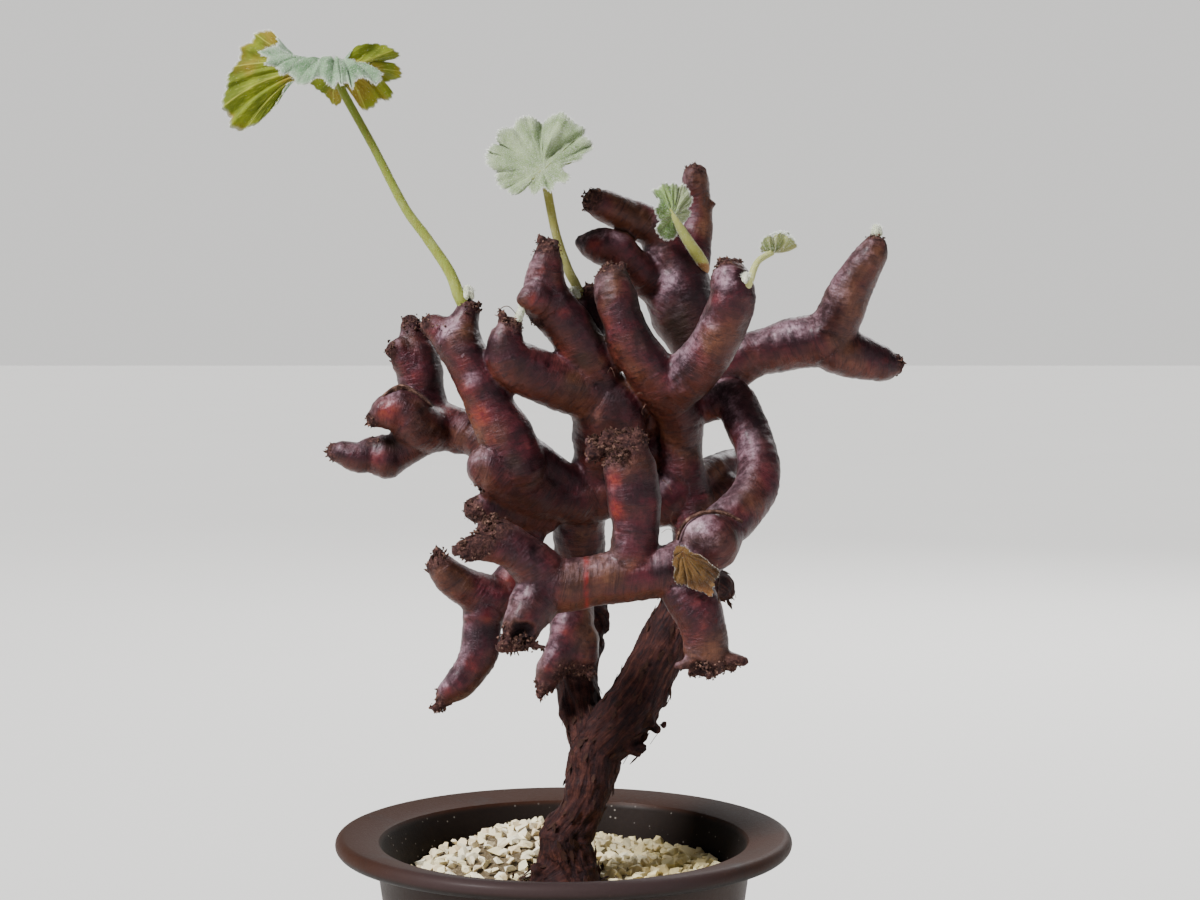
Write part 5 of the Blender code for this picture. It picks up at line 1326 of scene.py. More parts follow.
leafCrown = {
    "veins": [1, 6, 10, 16, 21, 26, 30, 35, 38, 43, 47, 50, 56],
    "upperFaces": (0, -1, 0.3), "scale": 1, "crumple": 0.55,
    "pleat": 0.05, "ridge": 0.04, "quilt": 0.05,
    "creases": [
        (4, 1.2, 1.3, 0.08, 6), (8, -1, 1.8, 0.1, 4), (13, 0.9, 1.5, 0.3, 1), (24, 0.7, 1.6, 0.35, -3),
        (31, -0.5, 1.8, 0.4, -1), (35, 0.7, 1.3, 0.3, 1), (42, 0.5, 0.9, 0.35), (46, 0.5, 0.7, 0.4),
    ],
    "hairs": {"rim": 3400, "upper": 6500, "lower": 900, "stalk": 420, "length": 0.7},
    "tones": {
        "face": (0.33, 0.41, 0.22), "faceDeep": (0.2, 0.28, 0.12), "faceVein": (0.33, 0.41, 0.23),
        "under": (0.25, 0.3, 0.11), "underDeep": (0.15, 0.2, 0.06),
        "underVein": (0.38, 0.42, 0.2), "rust": (0.26, 0.26, 0.08), "down": 0.8,
        "stalkSpan": (238, 262), "stalkFoot": (0.24, 0.23, 0.07), "stalkTop": (0.22, 0.2, 0.035),
        "stalkStreak": (0.3, 0.26, 0.07),
    },
    "stalk": [
        (5.4, 232.6, 1.6, 1.15), (3.9, 235, -0.6, 1.1), (2.9, 237.2, -1, 1.05), (1, 241, -1, 1),
        (-2, 250, -1.4, 0.95), (-4.2, 261, -2.4, 0.95), (-5.2, 265, -3, 0.9), (-5.6, 266.2, -3.6, 0.6),
    ],
    "buds": [(2.9, 235, -1.2, 1.7)],
    "hub": (-5.5, 266.3, -4.4),
    "rim": [
        (7.6, 272, -1), (7.3, 272.8, 1.4), (7.2, 273.7, -0.4), (6, 274.9, -0.4), (5, 275.2, 1.6, 0.3),
        (5.8, 276.3, 1.6), (5.2, 277.3, 1.6), (3.3, 278.1, 2), (1.6, 279, 2.6), (0.5, 280.2, 2.6),
        (-0.5, 281.1, 3), (-3, 280.4, 2.6), (-4.6, 279.5, 3.6), (-5.7, 278.9, 5, 0.6), (-6.7, 279.6, 3.6),
        (-8.2, 280.2, 2.8), (-9.8, 280.2, 3), (-11.4, 279.6, 1.8), (-12.5, 278.9, 1.8), (-12.9, 277.4, 2.2),
        (-14.4, 277.1, 0.8), (-16, 276.9, 0.4), (-17.1, 275.9, 0), (-17.5, 274.4, 0),
        (-17.3, 273.3, 1.6, 0.4), (-18.6, 272.7, -0.6), (-19.6, 271.7, -1), (-19.6, 270.9, 1, 0.4),
        (-20.2, 270.1, -1.6), (-19.8, 269.2, -2.4), (-20.1, 268, -3.2), (-19, 266.9, -3.8),
        (-17.3, 266, -3), (-17.5, 264.6, -4.2), (-17.2, 263, -4.8), (-16, 261.9, -5.6),
        (-14.6, 261.6, -4.6), (-14.2, 260.4, -6.6), (-12.6, 259.9, -7), (-11.3, 260.8, -5.6),
        (-10.3, 261.8, -5), (-9.2, 262.4, -4.8), (-8.6, 260.9, -6.6), (-7.7, 260.1, -7), (-6.4, 260.8, -7),
        (-5, 261.9, -7.4), (-3.8, 261, -8), (-2.6, 261.6, -8), (-2.1, 262.9, -7.6), (-0.9, 263, -8),
        (0.3, 262.8, -8), (1.4, 263.8, -7.2), (1.5, 265.1, -5.8), (-0.1, 266.4, -4.4), (1, 268, -3.6),
        (2.8, 268.5, -3.2), (4.7, 269.2, -2.6), (5.3, 270.3, -2), (6.6, 271.1, -1.6),
    ],
}

leafFolded = {
    "veins": [1, 3, 6, 8, 10, 12, 15, 19, 22],
    "upperFaces": (0, -1, 0.2), "scale": 0.7, "crumple": 0.3,
    "pleat": 0.8, "ridge": 0.15, "quilt": 0.1,
    "creases": [
        (2, 0.9, 0.5, 0.1), (4, 0.9, 0.5, 0.2), (7, 0.9, 0.5, 0.2), (9, 0.6, 0.4, 0.5), (11, 0.6, 0.4, 0.5),
        (14, 0.5, 0.5, 0.3), (17, 1.2, 0.6, 0.1), (21, 0.4, 0.4, 0.5),
    ],
    "hairs": {"rim": 2800, "upper": 2000, "lower": 2600, "stalk": 500, "length": 0.8},
    "tones": {
        "face": (0.24, 0.36, 0.1), "faceDeep": (0.12, 0.22, 0.045), "faceVein": (0.44, 0.46, 0.22),
        "under": (0.28, 0.34, 0.14), "underDeep": (0.14, 0.2, 0.065),
        "underVein": (0.5, 0.54, 0.36), "rust": (0.34, 0.34, 0.16), "down": 0.5,
        "paleAcross": (28.6, 30.4), "pale": (0.4, 0.43, 0.26),
        "stalkSpan": (240, 252), "stalkFoot": (0.44, 0.42, 0.075), "stalkTop": (0.36, 0.38, 0.1),
        "stalkStreak": (0.5, 0.48, 0.17), "ring": 242.3,
    },
    "stalk": [
        (36.6, 240.6, 15.5, 1.25), (36.3, 242, 12.6, 1.25), (34.6, 244.8, 9.2, 1.25),
        (32.6, 247.6, 7.8, 1.15), (30.8, 250.6, 6.9, 1), (29.2, 253.4, 6.1, 0.7), (28.2, 255.2, 5.9, 0.4),
        (27.4, 257, 5.9, 0.15),
    ],
    "hub": (28.6, 254.4, 6),
    "rim": [
        (31.2, 252.9, 8.6), (33, 254.6, 8.8), (32.6, 256.4, 8), (33.4, 258.2, 9), (33, 259.8, 8),
        (31.9, 261.4, 9.2), (31.2, 262.6, 7.6), (29.9, 262.1, 9), (28.7, 263, 6.6), (27.4, 262.3, 8),
        (26, 263, 6), (24.8, 261.6, 7.2), (23.1, 261, 4.6), (24.2, 259.3, 5.6), (24.8, 257.6, 4.2),
        (24, 256.2, 3.4), (24.4, 254.3, 4.2), (25.4, 253.2, 5.8), (24.2, 251.8, 6.4), (24.6, 249.9, 7.4),
        (25.9, 248.8, 8), (27.6, 248.4, 8.2), (29.3, 249.3, 8), (29.8, 251, 7.8),
    ],
}

leafSmall = {
    "veins": [1, 3, 5, 7, 9, 11, 13, 15],
    "upperFaces": (0, 0, 1), "scale": 0.6, "crumple": 0.25,
    "pleat": 0.6, "ridge": 0.25, "quilt": 0.08,
    "creases": [
        (2, 0.6, 0.4, 0.35), (4, 0.6, 0.4, 0.35), (6, 0.6, 0.4, 0.35), (8, 0.5, 0.4, 0.35),
        (12, 0.5, 0.4, 0.3), (14, 0.5, 0.4, 0.3),
    ],
    "hairs": {"rim": 2600, "upper": 900, "lower": 3600, "stalk": 700, "length": 0.72},
    "tones": {
        "face": (0.2, 0.3, 0.08), "faceDeep": (0.1, 0.18, 0.04), "faceVein": (0.4, 0.43, 0.2),
        "under": (0.32, 0.34, 0.13), "underDeep": (0.16, 0.22, 0.06),
        "underVein": (0.46, 0.46, 0.26), "rust": (0.4, 0.3, 0.12), "down": 0.8,
        "stalkSpan": (236, 245), "stalkFoot": (0.46, 0.46, 0.17), "stalkTop": (0.38, 0.4, 0.13),
        "stalkStreak": (0.5, 0.46, 0.24),
    },
    "stalk": [
        (46.6, 234.9, -18.6, 0.85), (48, 236.6, -22, 0.85), (48.8, 238.4, -22.2, 0.8),
        (49.6, 240.8, -21, 0.75), (50.7, 242.8, -19.4, 0.7), (52.6, 244.1, -17.6, 0.7),
        (54.2, 245, -16.4, 0.7),
    ],
    "buds": [(47.6, 238.4, -22.4, 1.5)],
    "hub": (54.4, 245.2, -16),
    "rim": [
        (51.6, 245.2, -15.6), (51.3, 246.6, -17, -0.4), (51.8, 248.2, -18.2, -0.8),
        (53.4, 249.5, -19.2, -1), (54.4, 249, -18.6, -1), (55.6, 250, -19.8, -1), (57, 250, -19.4, -1),
        (58.4, 249.2, -19.2, -1), (59.8, 248.3, -18.2, -0.8), (60.6, 246.8, -17, -0.4),
        (60.4, 246.2, -15.8), (60.3, 247.6, -14, -0.6), (58.9, 249.6, -12.8, -1), (57.2, 250.4, -12.2, -1),
        (55.4, 250.2, -12.4, -1), (53.4, 249.2, -12.8, -1), (51.9, 247.4, -14, -0.6),
    ],
}

leafDried = {
    "veins": [1, 4, 7, 10, 13, 16, 19, 22],
    "upperFaces": (0, -1, 0), "scale": 0.8, "crumple": 0.9, "slot": "dried_leaf",
    "pleat": 0.4, "ridge": 0.25, "quilt": 0.11,
    "creases": [
        (3, 0.6, 0.6, 0.3), (8, 0.6, 0.6, 0.3), (14, 0.5, 0.5, 0.3), (18, 0.6, 0.6, 0.3),
        (11, 0.4, 0.4, 0.4), (16, 0.4, 0.4, 0.4),
    ],
    "hairs": {"rim": 420, "upper": 60, "lower": 60, "stalk": 20, "length": 0.34},
    "tones": {
        "face": (0.15, 0.078, 0.022), "faceDeep": (0.056, 0.024, 0.009),
        "faceVein": (0.07, 0.016, 0.009), "under": (0.15, 0.085, 0.03),
        "underDeep": (0.07, 0.034, 0.013), "underVein": (0.12, 0.05, 0.025),
        "rust": (0.2, 0.1, 0.03), "down": 0.06,
        "edge": (0.42, 0.17, 0.055), "edgeUp": (157.5, 163),
        "stalkSpan": (164, 167), "stalkFoot": (0.18, 0.1, 0.05), "stalkTop": (0.2, 0.11, 0.05),
        "stalkStreak": (0.28, 0.18, 0.09),
    },
    "stalk": [(31, 164.8, -31, 0.8), (31, 166, -34.6, 0.8), (31, 166.6, -36.9, 0.6)],
    "hub": (31, 166.8, -37.8),
    "rim": [
        (30, 168.4, -36.8), (31.8, 168.2, -37.8), (33.4, 166.4, -39), (35.6, 165.5, -39.6),
        (37.6, 164.3, -40), (39.6, 163.2, -40), (40.7, 161.6, -39.4), (40.6, 160.4, -39),
        (39.6, 159.4, -38), (39.4, 157.8, -38.4), (38.7, 156.8, -37.6), (39.2, 155.9, -38),
        (38.3, 154.9, -37.8), (37, 156, -37.4), (35, 156.5, -38.2), (33.4, 157, -37.4), (32.4, 158, -38.2),
        (30.6, 158.1, -37.4), (29.3, 158.8, -38.2), (28.8, 160.6, -37.6), (29.4, 162, -38.4),
        (28.5, 163.6, -37.6), (28.8, 165.4, -37.4), (29.2, 167, -36.6),
    ],
}

leaves = {
    "leaf_tall": leafTall, "leaf_crown": leafCrown, "leaf_folded": leafFolded,
    "leaf_small": leafSmall, "leaf_dried": leafDried,
}

# Buds that stand alone on a tip.
buds = {
    "bud_left": {
        "stalk": [(-12.6, 226.2, -14, 1.2), (-11.6, 228.4, -14, 1.2), (-10.8, 230.2, -14, 1.1)],
        "buds": [(-10.4, 231.4, -14, 1.7)],
    },
    "bud_right": {
        "stalk": [(81, 246.6, 0, 1.1), (81.4, 248.6, 0, 1.1), (81.5, 250.2, 0, 1)],
        "buds": [(81.4, 250.8, 0, 1.7)],
    },
}

# Side veins leave each vein at a share of its length and end some rim stations aside.
blade = {
    "seed": 77, "perStation": 7, "rings": 28, "thickness": 0.42, "tooth": 0.6, "toothFrom": 0.9,
    "veinWidth": 0.42, "veinDepth": 0.28, "sideVeins": ((0.3, 2.1), (0.5, 1.1), (0.68, 0.55)),
    "stalkSwell": 1.22, "hairWidth": 0.05, "shortHairWidth": 0.04, "stalkHairWidth": 0.028,
    # Tints that all leaves share: down on the face, below and at the rim, and specks and ring of a stalk.
    "downTones": ((0.74, 0.77, 0.68), (0.9, 0.91, 0.87)),
    "faceDown": (0.8, 0.83, 0.74), "underDown": (0.72, 0.76, 0.62), "rimDown": (0.86, 0.88, 0.83),
    "stalkSpeck": (0.48, 0.5, 0.26), "stalkRing": (0.26, 0.075, 0.02),
}

# Downy scales round a core, as a bud of folded young leaves has them.
budScales = {
    "number": 9, "turns": 2.2, "hairs": 260, "hairWidth": 0.035, "voxel": 0.16,
    "tones": ((0.34, 0.4, 0.2), (0.52, 0.52, 0.36)), "fuzz": (0.8, 0.8, 0.7),
}


def closedCurve(points, perPoint):
    # A loop through the rim stations; each point has any number of values.
    loop = []
    count = len(points)
    for i in range(count):
        four = [points[(i + k) % count] for k in (-1, 0, 1, 2)]
        loop += [[onCurve(*values, k / perPoint) for values in zip(*four)] for k in range(perPoint)]
    return loop


def leafSurface(leaf):
    # Rings of points from hub to rim, with how near each lies to a vein and to the rim, and
    # how far the blade's folds lift it.
    hub, _ = sighted(*leaf["hub"])
    perStation = blade["perStation"]
    stations = []
    for i, (across, up, depth, *arch) in enumerate(leaf["rim"]):
        edge, _ = sighted(across, up, depth)
        stations.append([edge.x, edge.y, edge.z, sum(arch), -1 if i % 2 else 1])
    rim = closedCurve(stations, perStation)
    count = len(rim)
    edges = [Vector(point[:3]) for point in rim]
    around = range(-2 * perStation, 2 * perStation + 1)
    calm = [sum(edges[(c + k) % count].y for k in around) / len(around) for c in range(count)]
    veins = [station * perStation for station in leaf["veins"]]
    swell = []
    for c in range(count):
        behind = min((c - vein) % count for vein in veins)
        ahead = min((vein - c) % count for vein in veins)
        swell.append(sin(pi * behind / max(behind + ahead, 1)) - 0.5)
    rings = []
    for r in range(1, blade["rings"] + 1):
        share = (r / blade["rings"]) ** 0.9
        ring = []
        for c in range(count):
            edge, arch, fold = edges[c], rim[c][3], rim[c][4]
            spread = (edges[(c + 1) % count] - edges[c]).length * share
            toVein = 9
            for vein in veins:
                aside = abs((c - vein + count // 2) % count - count // 2)
                toVein = min(toVein, aside * spread * (1.25 if share < 0.9 else 1.6))
                for start, turnTo in blade["sideVeins"]:
                    if share > start:
                        drift = turnTo * perStation * ((share - start) / (1 - start)) ** 0.85
                        toVein = min(toVein, 1.6 * abs(aside - drift) * spread + 0.12)
            veinWidth = blade["veinWidth"] * leaf["scale"] * (1.15 - 0.7 * share)
            nearVein = exp(-(toVein / veinWidth) ** 2)
            along = edges[(c + 2) % count] - edges[c - 2]
            away = edge - hub
            openness = min(along.cross(away).length / (along.length * away.length + 0.001) * 1.6, 1) ** 2
            lift = leaf["pleat"] * swell[c] * min(share * 1.5, 1)
            for station, depth, width, begin, *bend in leaf["creases"]:
                crease = (station + sum(bend) * (1 - share)) * perStation
                aside = abs((c - crease + count // 2) % count - count // 2) * spread
                valley = exp(-(aside / (width * (0.5 + share))) ** 2)
                lift -= depth * valley * step(begin, begin + 0.3, share)
            place = hub + away * share
            place.y += (calm[c] - edge.y) * share * (1 - share * share)
            if share > blade["toothFrom"]:
                tooth = abs(sin(pi * c / perStation * 1.5 + 0.6)) - 0.75
                grown = (share - blade["toothFrom"]) / 0.1 * blade["tooth"]
                place += away.normalized() * grown * tooth * leaf["scale"]
            place.z += 4 * share * (1 - share) * arch
            place.y += leaf["ridge"] * share * fold
            ring.append((place, nearVein, share, lift * openness))
        rings.append(ring)
    return hub, rings


def crumple(points, amount):
    # A dry blade buckles: its points move along their normals in slow folds.
    moved = []
    for place, normal, nearVein, share in points:
        push = amount * share * (smoothNoise(place, 4) + 0.5 * smoothNoise(place, 1.7))
        moved.append((place + normal * push, normal, nearVein, share))
    return moved


def foldedSheet(leaf):
    # The blade's middle sheet as (point, normal, nearness to a vein, share of the way to the rim),
    # and the number of its columns.
    hub, rings = leafSurface(leaf)
    count = len(rings[0])
    sheet = bmesh.new()
    middle = sheet.verts.new(hub)
    grid = [[sheet.verts.new(place) for place, _, _, _ in ring] for ring in rings]
    for c in range(count):
        sheet.faces.new((middle, grid[0][c - 1], grid[0][c]))
    for inner, outer in zip(grid, grid[1:]):
        for c in range(count):
            sheet.faces.new((inner[c - 1], outer[c - 1], outer[c], inner[c]))
    bmesh.ops.recalc_face_normals(sheet, faces=sheet.faces)
    sheet.normal_update()
    facing = Vector(leaf["upperFaces"])
    total = sum((f.normal * f.calc_area() for f in sheet.faces), Vector())
    sign = 1 if total.dot(facing) > 0 else -1

    # Folds rise along a calmed normal, so that neighbouring columns don't cross.
    points = [(Vector(middle.co), Vector(middle.normal) * sign, 1, 0)]
    reach = range(-2 * blade["perStation"], 2 * blade["perStation"] + 1, 2)
    for ring, verts in zip(rings, grid):
        for c, (_, nearVein, share, lift) in enumerate(ring):
            normal = Vector(verts[c].normal) * sign
            calm = sum((verts[(c + k) % count].normal for k in reach), Vector()).normalized() * sign
            points.append((Vector(verts[c].co) + calm * lift, normal, nearVein, share))
    sheet.free()
    return crumple(points, leaf["crumple"]), count


def buildBlade(name, leaf):
    points, count = foldedSheet(leaf)
    upper = []
    lower = []
    half = blade["thickness"] / 2
    for place, normal, nearVein, share in points:
        quilt = (1 - nearVein) * leaf["quilt"] * (1 - share ** 8)
        quilt *= 0.6 + 0.8 * smoothNoise(place, 1.6)
        groove = nearVein * blade["veinDepth"] * leaf["scale"]
        edgeThin = 1 - 0.55 * share ** 6
        upper.append(place + normal * (half * edgeThin + quilt - groove * leaf["pleat"]))
        lower.append(place - normal * (half * edgeThin - quilt * 0.8 + groove * (1 - share ** 4)))

    bm = bmesh.new()
    top = [bm.verts.new(p * mm) for p in upper]
    bottom = [bm.verts.new(p * mm) for p in lower]
    last = 1 + (blade["rings"] - 1) * count
    for side in (top, bottom):
        for c in range(count):
            before = (c - 1) % count
            bm.faces.new((side[0], side[1 + before], side[1 + c]))
            for inner in range(1, last, count):
                outer = inner + count
                bm.faces.new((side[inner + before], side[outer + before], side[outer + c], side[inner + c]))
    for c in range(count):
        before = (c - 1) % count
        bm.faces.new((top[last + before], top[last + c], bottom[last + c], bottom[last + before]))
    bmesh.ops.recalc_face_normals(bm, faces=bm.faces)
    piece = shellPiece(name, bm)
    paint(piece, "upper", [1] * len(upper) + [0] * len(lower))
    paint(piece, "vein", [p[2] for p in points] * 2)
    paint(piece, "share", [p[3] for p in points] * 2)
    return piece, (points, upper, lower, count)


def buildStalk(name, leaf):
    swell = blade["stalkSwell"]
    line = [(place, radius * swell) for place, radius in route(leaf["stalk"], spacing=0.8)]
    piece = tube(name, line, sides=20)
    for vert in piece.data.vertices:
        place = Vector(vert.co) / mm
        vert.co += vert.normal * 0.06 * smoothNoise(place, 1.2) * mm
    return piece, line


def addHair(verts, faces, root, direction, length, width):
    # A three-sided spike with its foot closed.
    side = direction.orthogonal().normalized()
    other = direction.cross(side).normalized()
    start = len(verts)
    for i in range(3):
        angle = tau * i / 3
        verts.append((root + (side * cos(angle) + other * sin(angle)) * width) * mm)
    verts.append((root + direction * length) * mm)
    faces += [(start, start + 1, start + 3), (start + 1, start + 2, start + 3),
              (start + 2, start, start + 3), (start + 2, start + 1, start)]


def hairsOnRim(verts, faces, rng, skins, hairs):
    points, upper, lower, columns = skins
    rimPoints = range(len(points) - columns, len(points))
    for _ in range(hairs["rim"]):
        i = rng.choice(rimPoints)
        place, normal, _, _ = points[i]
        inward = points[max(i - columns, 1)][0]
        outward = (place - inward).normalized()
        direction = (outward + normal * rng.gauss(0, 0.55)
                     + normal.cross(outward) * rng.gauss(0, 0.35)).normalized()
        root = (upper[i] + lower[i]) / 2 - outward * rng.uniform(0, 0.25)
        length = rng.uniform(0.35, 1.05) * hairs["length"]
        addHair(verts, faces, root, direction, length, blade["hairWidth"])


def woolOnLeaf(verts, faces, rng, skins, leaf):
    # Longer, denser down on the columns that the leaf's woolly key names.
    points, upper, lower, columns = skins
    rings = blade["rings"]
    first, end, number = leaf["woolly"]
    for _ in range(number):
        column = int(rng.uniform(first, end) * blade["perStation"]) % columns
        ring = min(int(rng.uniform(0.1, 1.15) * rings), rings - 1)
        i = 1 + ring * columns + column
        side = rng.choice((1, 1, -1))
        place, normal, _, _ = points[i]
        inward = points[1 + max(ring - 3, 0) * columns + column][0]
        outward = (place - inward + normal * 0.01).normalized()
        atRim = ring > rings - 3
        direction = (normal * side * 0.8 + outward * (0.5 + atRim) + scatter(rng, 0.5)).normalized()
        root = (upper if side > 0 else lower)[i] - normal * side * 0.05
        length = rng.uniform(0.4, 1.15) * leaf["hairs"]["length"]
        addHair(verts, faces, root, direction, length, blade["hairWidth"])


def hairsOnLeaf(name, leaf, skins, stalkLine, rng):
    points, upper, lower, _ = skins
    verts, faces = [], []
    hairs = leaf["hairs"]
    hairsOnRim(verts, faces, rng, skins, hairs)
    if "woolly" in leaf:
        woolOnLeaf(verts, faces, rng, skins, leaf)
    for side, skin, number in ((1, upper, hairs["upper"]), (-1, lower, hairs["lower"])):
        for _ in range(number):
            i = rng.randrange(1, len(points))
            if rng.random() > 0.25 + points[i][3] ** 2:
                continue
            normal = points[i][1] * side
            direction = (normal + scatter(rng, 0.6)).normalized()
            length = rng.uniform(0.25, 0.7) * hairs["length"]
            addHair(verts, faces, skin[i] - normal * 0.05, direction, length, blade["shortHairWidth"])
    for _ in range(hairs["stalk"]):
        i = rng.randrange(1, len(stalkLine) - 1)
        place, radius = stalkLine[i]
        along = (stalkLine[i + 1][0] - place).normalized()
        outward = along.orthogonal()
        outward.rotate(Matrix.Rotation(rng.uniform(0, tau), 3, along))
        outward.normalize()
        root = place + along * rng.uniform(-0.4, 0.4) + outward * radius * 0.95
        direction = (outward + along * rng.gauss(0.1, 0.4)).normalized()
        length = rng.uniform(0.25, 0.6) * hairs["length"]
        addHair(verts, faces, root, direction, length, blade["stalkHairWidth"])
    return listedPiece(name, verts, faces)


def buildBuds(name, stations, rng):
    # Folded young leaves: overlapping pointed scales that lean inwards round a core.
    number = budScales["number"]
    verts, faces = [], []
    bm = bmesh.new()
    for *place, size in stations:
        centre, _ = sighted(*place)
        for i in range(number):
            angle = tau * i / number * budScales["turns"]
            tilt = -0.15 - 0.3 * (i / number)
            lean = Matrix.Rotation(tilt, 4, Vector((-sin(angle), cos(angle), 0)))
            offset = Vector((cos(angle), sin(angle), -0.2 * i / number)) * size * 0.42
            stretch = (size * 0.42, size * 0.42, size * rng.uniform(0.8, 1.15), 1)
            matrix = Matrix.Translation((centre + offset) * mm) @ lean @ Matrix.Diagonal(stretch)
            bmesh.ops.create_icosphere(bm, subdivisions=3, radius=mm, matrix=matrix)
        for _ in range(budScales["hairs"]):
            outward = scatter(rng, 1).normalized()
            outward.z = abs(outward.z) * 0.8 + 0.1
            addHair(verts, faces, centre + outward * size * 0.75, outward.normalized(),
                    rng.uniform(0.4, 1.1), budScales["hairWidth"])
    piece = shellPiece(name, bm)
    applyModifier(piece, "REMESH", mode="VOXEL", voxel_size=budScales["voxel"] * mm)
    applyModifier(piece, "SMOOTH", factor=0.5, iterations=2)
    return piece, verts, faces


def leafFinish(name, tones):
    skin = Finish(name + " skin", Sheen_Weight=0.12, Sheen_Roughness=0.4, Specular_IOR_Level=0.14)
    upper, vein, share = (skin.attribute(key) for key in ("upper", "vein", "share"))
    across, _, height = skin.parts(skin.place)
    cloud = skin.grain(5, detail=3)
    fleck = skin.grain(0.7, detail=4, roughness=0.65)
    fuzz = skin.grain(0.3, detail=3, roughness=0.7)
    dots = (1 - skin.cells(0.36)).within(0.5, 0.8)
    face = skin.mix(cloud.within(0.35, 0.65), tones["face"], tones["faceDeep"])
    face = skin.mix(vein.within(0.35, 0.95) * 0.45, face, tones["faceVein"])
    face = skin.mix((1 - fleck).within(0.5, 0.7) * 0.35, face, tones["faceDeep"])
    down = (dots * 0.45 + fuzz.within(0.5, 0.66) * 0.2 + share.within(0.86, 1) * 0.3) * tones["down"]
    face = skin.mix(down, face, blade["faceDown"])
    under = skin.mix(cloud.within(0.3, 0.7), tones["under"], tones["underDeep"])
    under = skin.mix(skin.grain(12).within(0.46, 0.62) * 0.6, under, tones["rust"])
    under = skin.mix(fleck.within(0.45, 0.7) * 0.3, under, tones["underDeep"])
    under = skin.mix(vein.within(0.1, 0.95) * 0.65, under, tones["underVein"])
    under = skin.mix(fuzz.within(0.58, 0.7) * tones["down"] * 0.15, under, blade["underDown"])
    colour = skin.mix(upper, under, face)
    if "pale" in tones:
        near, far = tones["paleAcross"]
        right = across.within(near * mm, far * mm)
        colour = skin.mix(right * (0.55 + vein * 0.35), colour, tones["pale"])
    if "edge" in tones:
        low, high = tones["edgeUp"]
        frill = share.within(0.62, 0.95) * (1 - height.within(low * mm, high * mm))
        colour = skin.mix(frill * (0.5 + fleck * 0.8), colour, tones["edge"])
    rimmed = share.within(0.97, 1) * 0.5 * tones["down"]
    colour = skin.mix(rimmed, colour, blade["rimDown"])
    stippled = skin.bump(dots * upper, 0.12, over=skin.bump(fuzz, 0.1))
    return skin.done(Base_Color=colour, Roughness=0.62 + fleck * 0.25,
                     Normal=skin.bump(fleck, 0.16, over=stippled))


def stalkFinish(name, tones):
    skin = Finish(name + " stalk", Sheen_Weight=0.15, Sheen_Roughness=0.5, Specular_IOR_Level=0.25)
    height = skin.parts(skin.place)[2]
    low, high = tones["stalkSpan"]
    cloud = skin.grain(3, detail=3)
    streak = skin.grain(0.6, detail=3, stretch=(1, 1, 0.12))
    tone = skin.mix(height.within(low * mm, high * mm), tones["stalkFoot"], tones["stalkTop"])
    tone = skin.mix(streak.within(0.4, 0.7) * 0.4, tone, tones["stalkStreak"])
    tone = skin.mix(cloud.within(0.5, 0.75) * 0.2, tone, blade["stalkSpeck"])
    if "ring" in tones:
        ring = tones["ring"]
        foot = 1 - height.within((ring - 0.2) * mm, (ring + 0.6) * mm)
        tone = skin.mix(foot * 0.85, tone, blade["stalkRing"])
    return skin.done(Base_Color=tone, Roughness=0.55 + cloud * 0.2, Normal=skin.bump(streak, 0.08))


def downFinish():
    hair = Finish("white down", Roughness=0.55, Sheen_Weight=0.3)
    return hair.done(Base_Color=hair.mix(hair.grain(3), *blade["downTones"]))


def budFinish():
    bud = Finish("downy bud", Sheen_Weight=0.4)
    fuzz = bud.grain(0.22, detail=3, roughness=0.7)
    green = bud.mix(bud.grain(1.2).within(0.4, 0.65), *budScales["tones"])
    pale = bud.mix(fuzz.within(0.38, 0.6) * 0.8, green, budScales["fuzz"])
    return bud.done(Base_Color=pale, Roughness=0.7 + fuzz * 0.2, Normal=bud.bump(fuzz, 0.12))


def buildLeaves():
    rng = random.Random(blade["seed"])
    down = downFinish()
    bud = budFinish()
    for name, leaf in leaves.items():
        slotName = leaf.get("slot", "leaf")
        piece, skins = buildBlade(name, leaf)
        dress(piece, leafFinish(name, leaf["tones"]), slotName, name)
        stalk, line = buildStalk(name + "_stalk", leaf)
        dress(stalk, stalkFinish(name, leaf["tones"]), slotName)
        hair = hairsOnLeaf(name + "_down", leaf, skins, line, rng)
        dress(hair, down, slotName, smooth=False)
        if "buds" in leaf:
            scales, verts, faces = buildBuds(name + "_bud", leaf["buds"], rng)
            dress(scales, bud, slotName)
            dress(listedPiece(name + "_bud_down", verts, faces), down, slotName, smooth=False)
        print("leaf:", name, len(piece.data.polygons), "faces,", len(hair.data.polygons) // 4, "hairs")
    for name, parts in buds.items():
        scales, verts, faces = buildBuds(name, parts["buds"], rng)
        stalk = tube(name + "_stalk", route(parts["stalk"], spacing=0.6), sides=16)
        dress(scales, bud, "bud", name)
        dress(stalk, bud, "bud")
        dress(listedPiece(name + "_down", verts, faces), down, "bud", smooth=False)
    print("buds: done")


# Dry scales, loose bark and litter.

debris = {
    "seed": 41, "lumps": 1900, "lumpSize": (0.22, 0.62), "plates": 420, "plateSize": (0.6, 1.5),
    "threads": 130, "threadLength": (0.6, 1.7), "threadWidth": 0.06,
    "flakes": 420, "flakeSize": (1.4, 3.6), "litter": 110, "litterSize": (1, 2.8),
    "thickness": 0.14, "lowest": 78,
    "tones": [(0.36, (0.01, 0.004, 0.004)), (0.46, (0.042, 0.017, 0.012))],
    "scaleTone": (0.3, 0.16, 0.12), "flakeTone": (0.085, 0.034, 0.022),
}


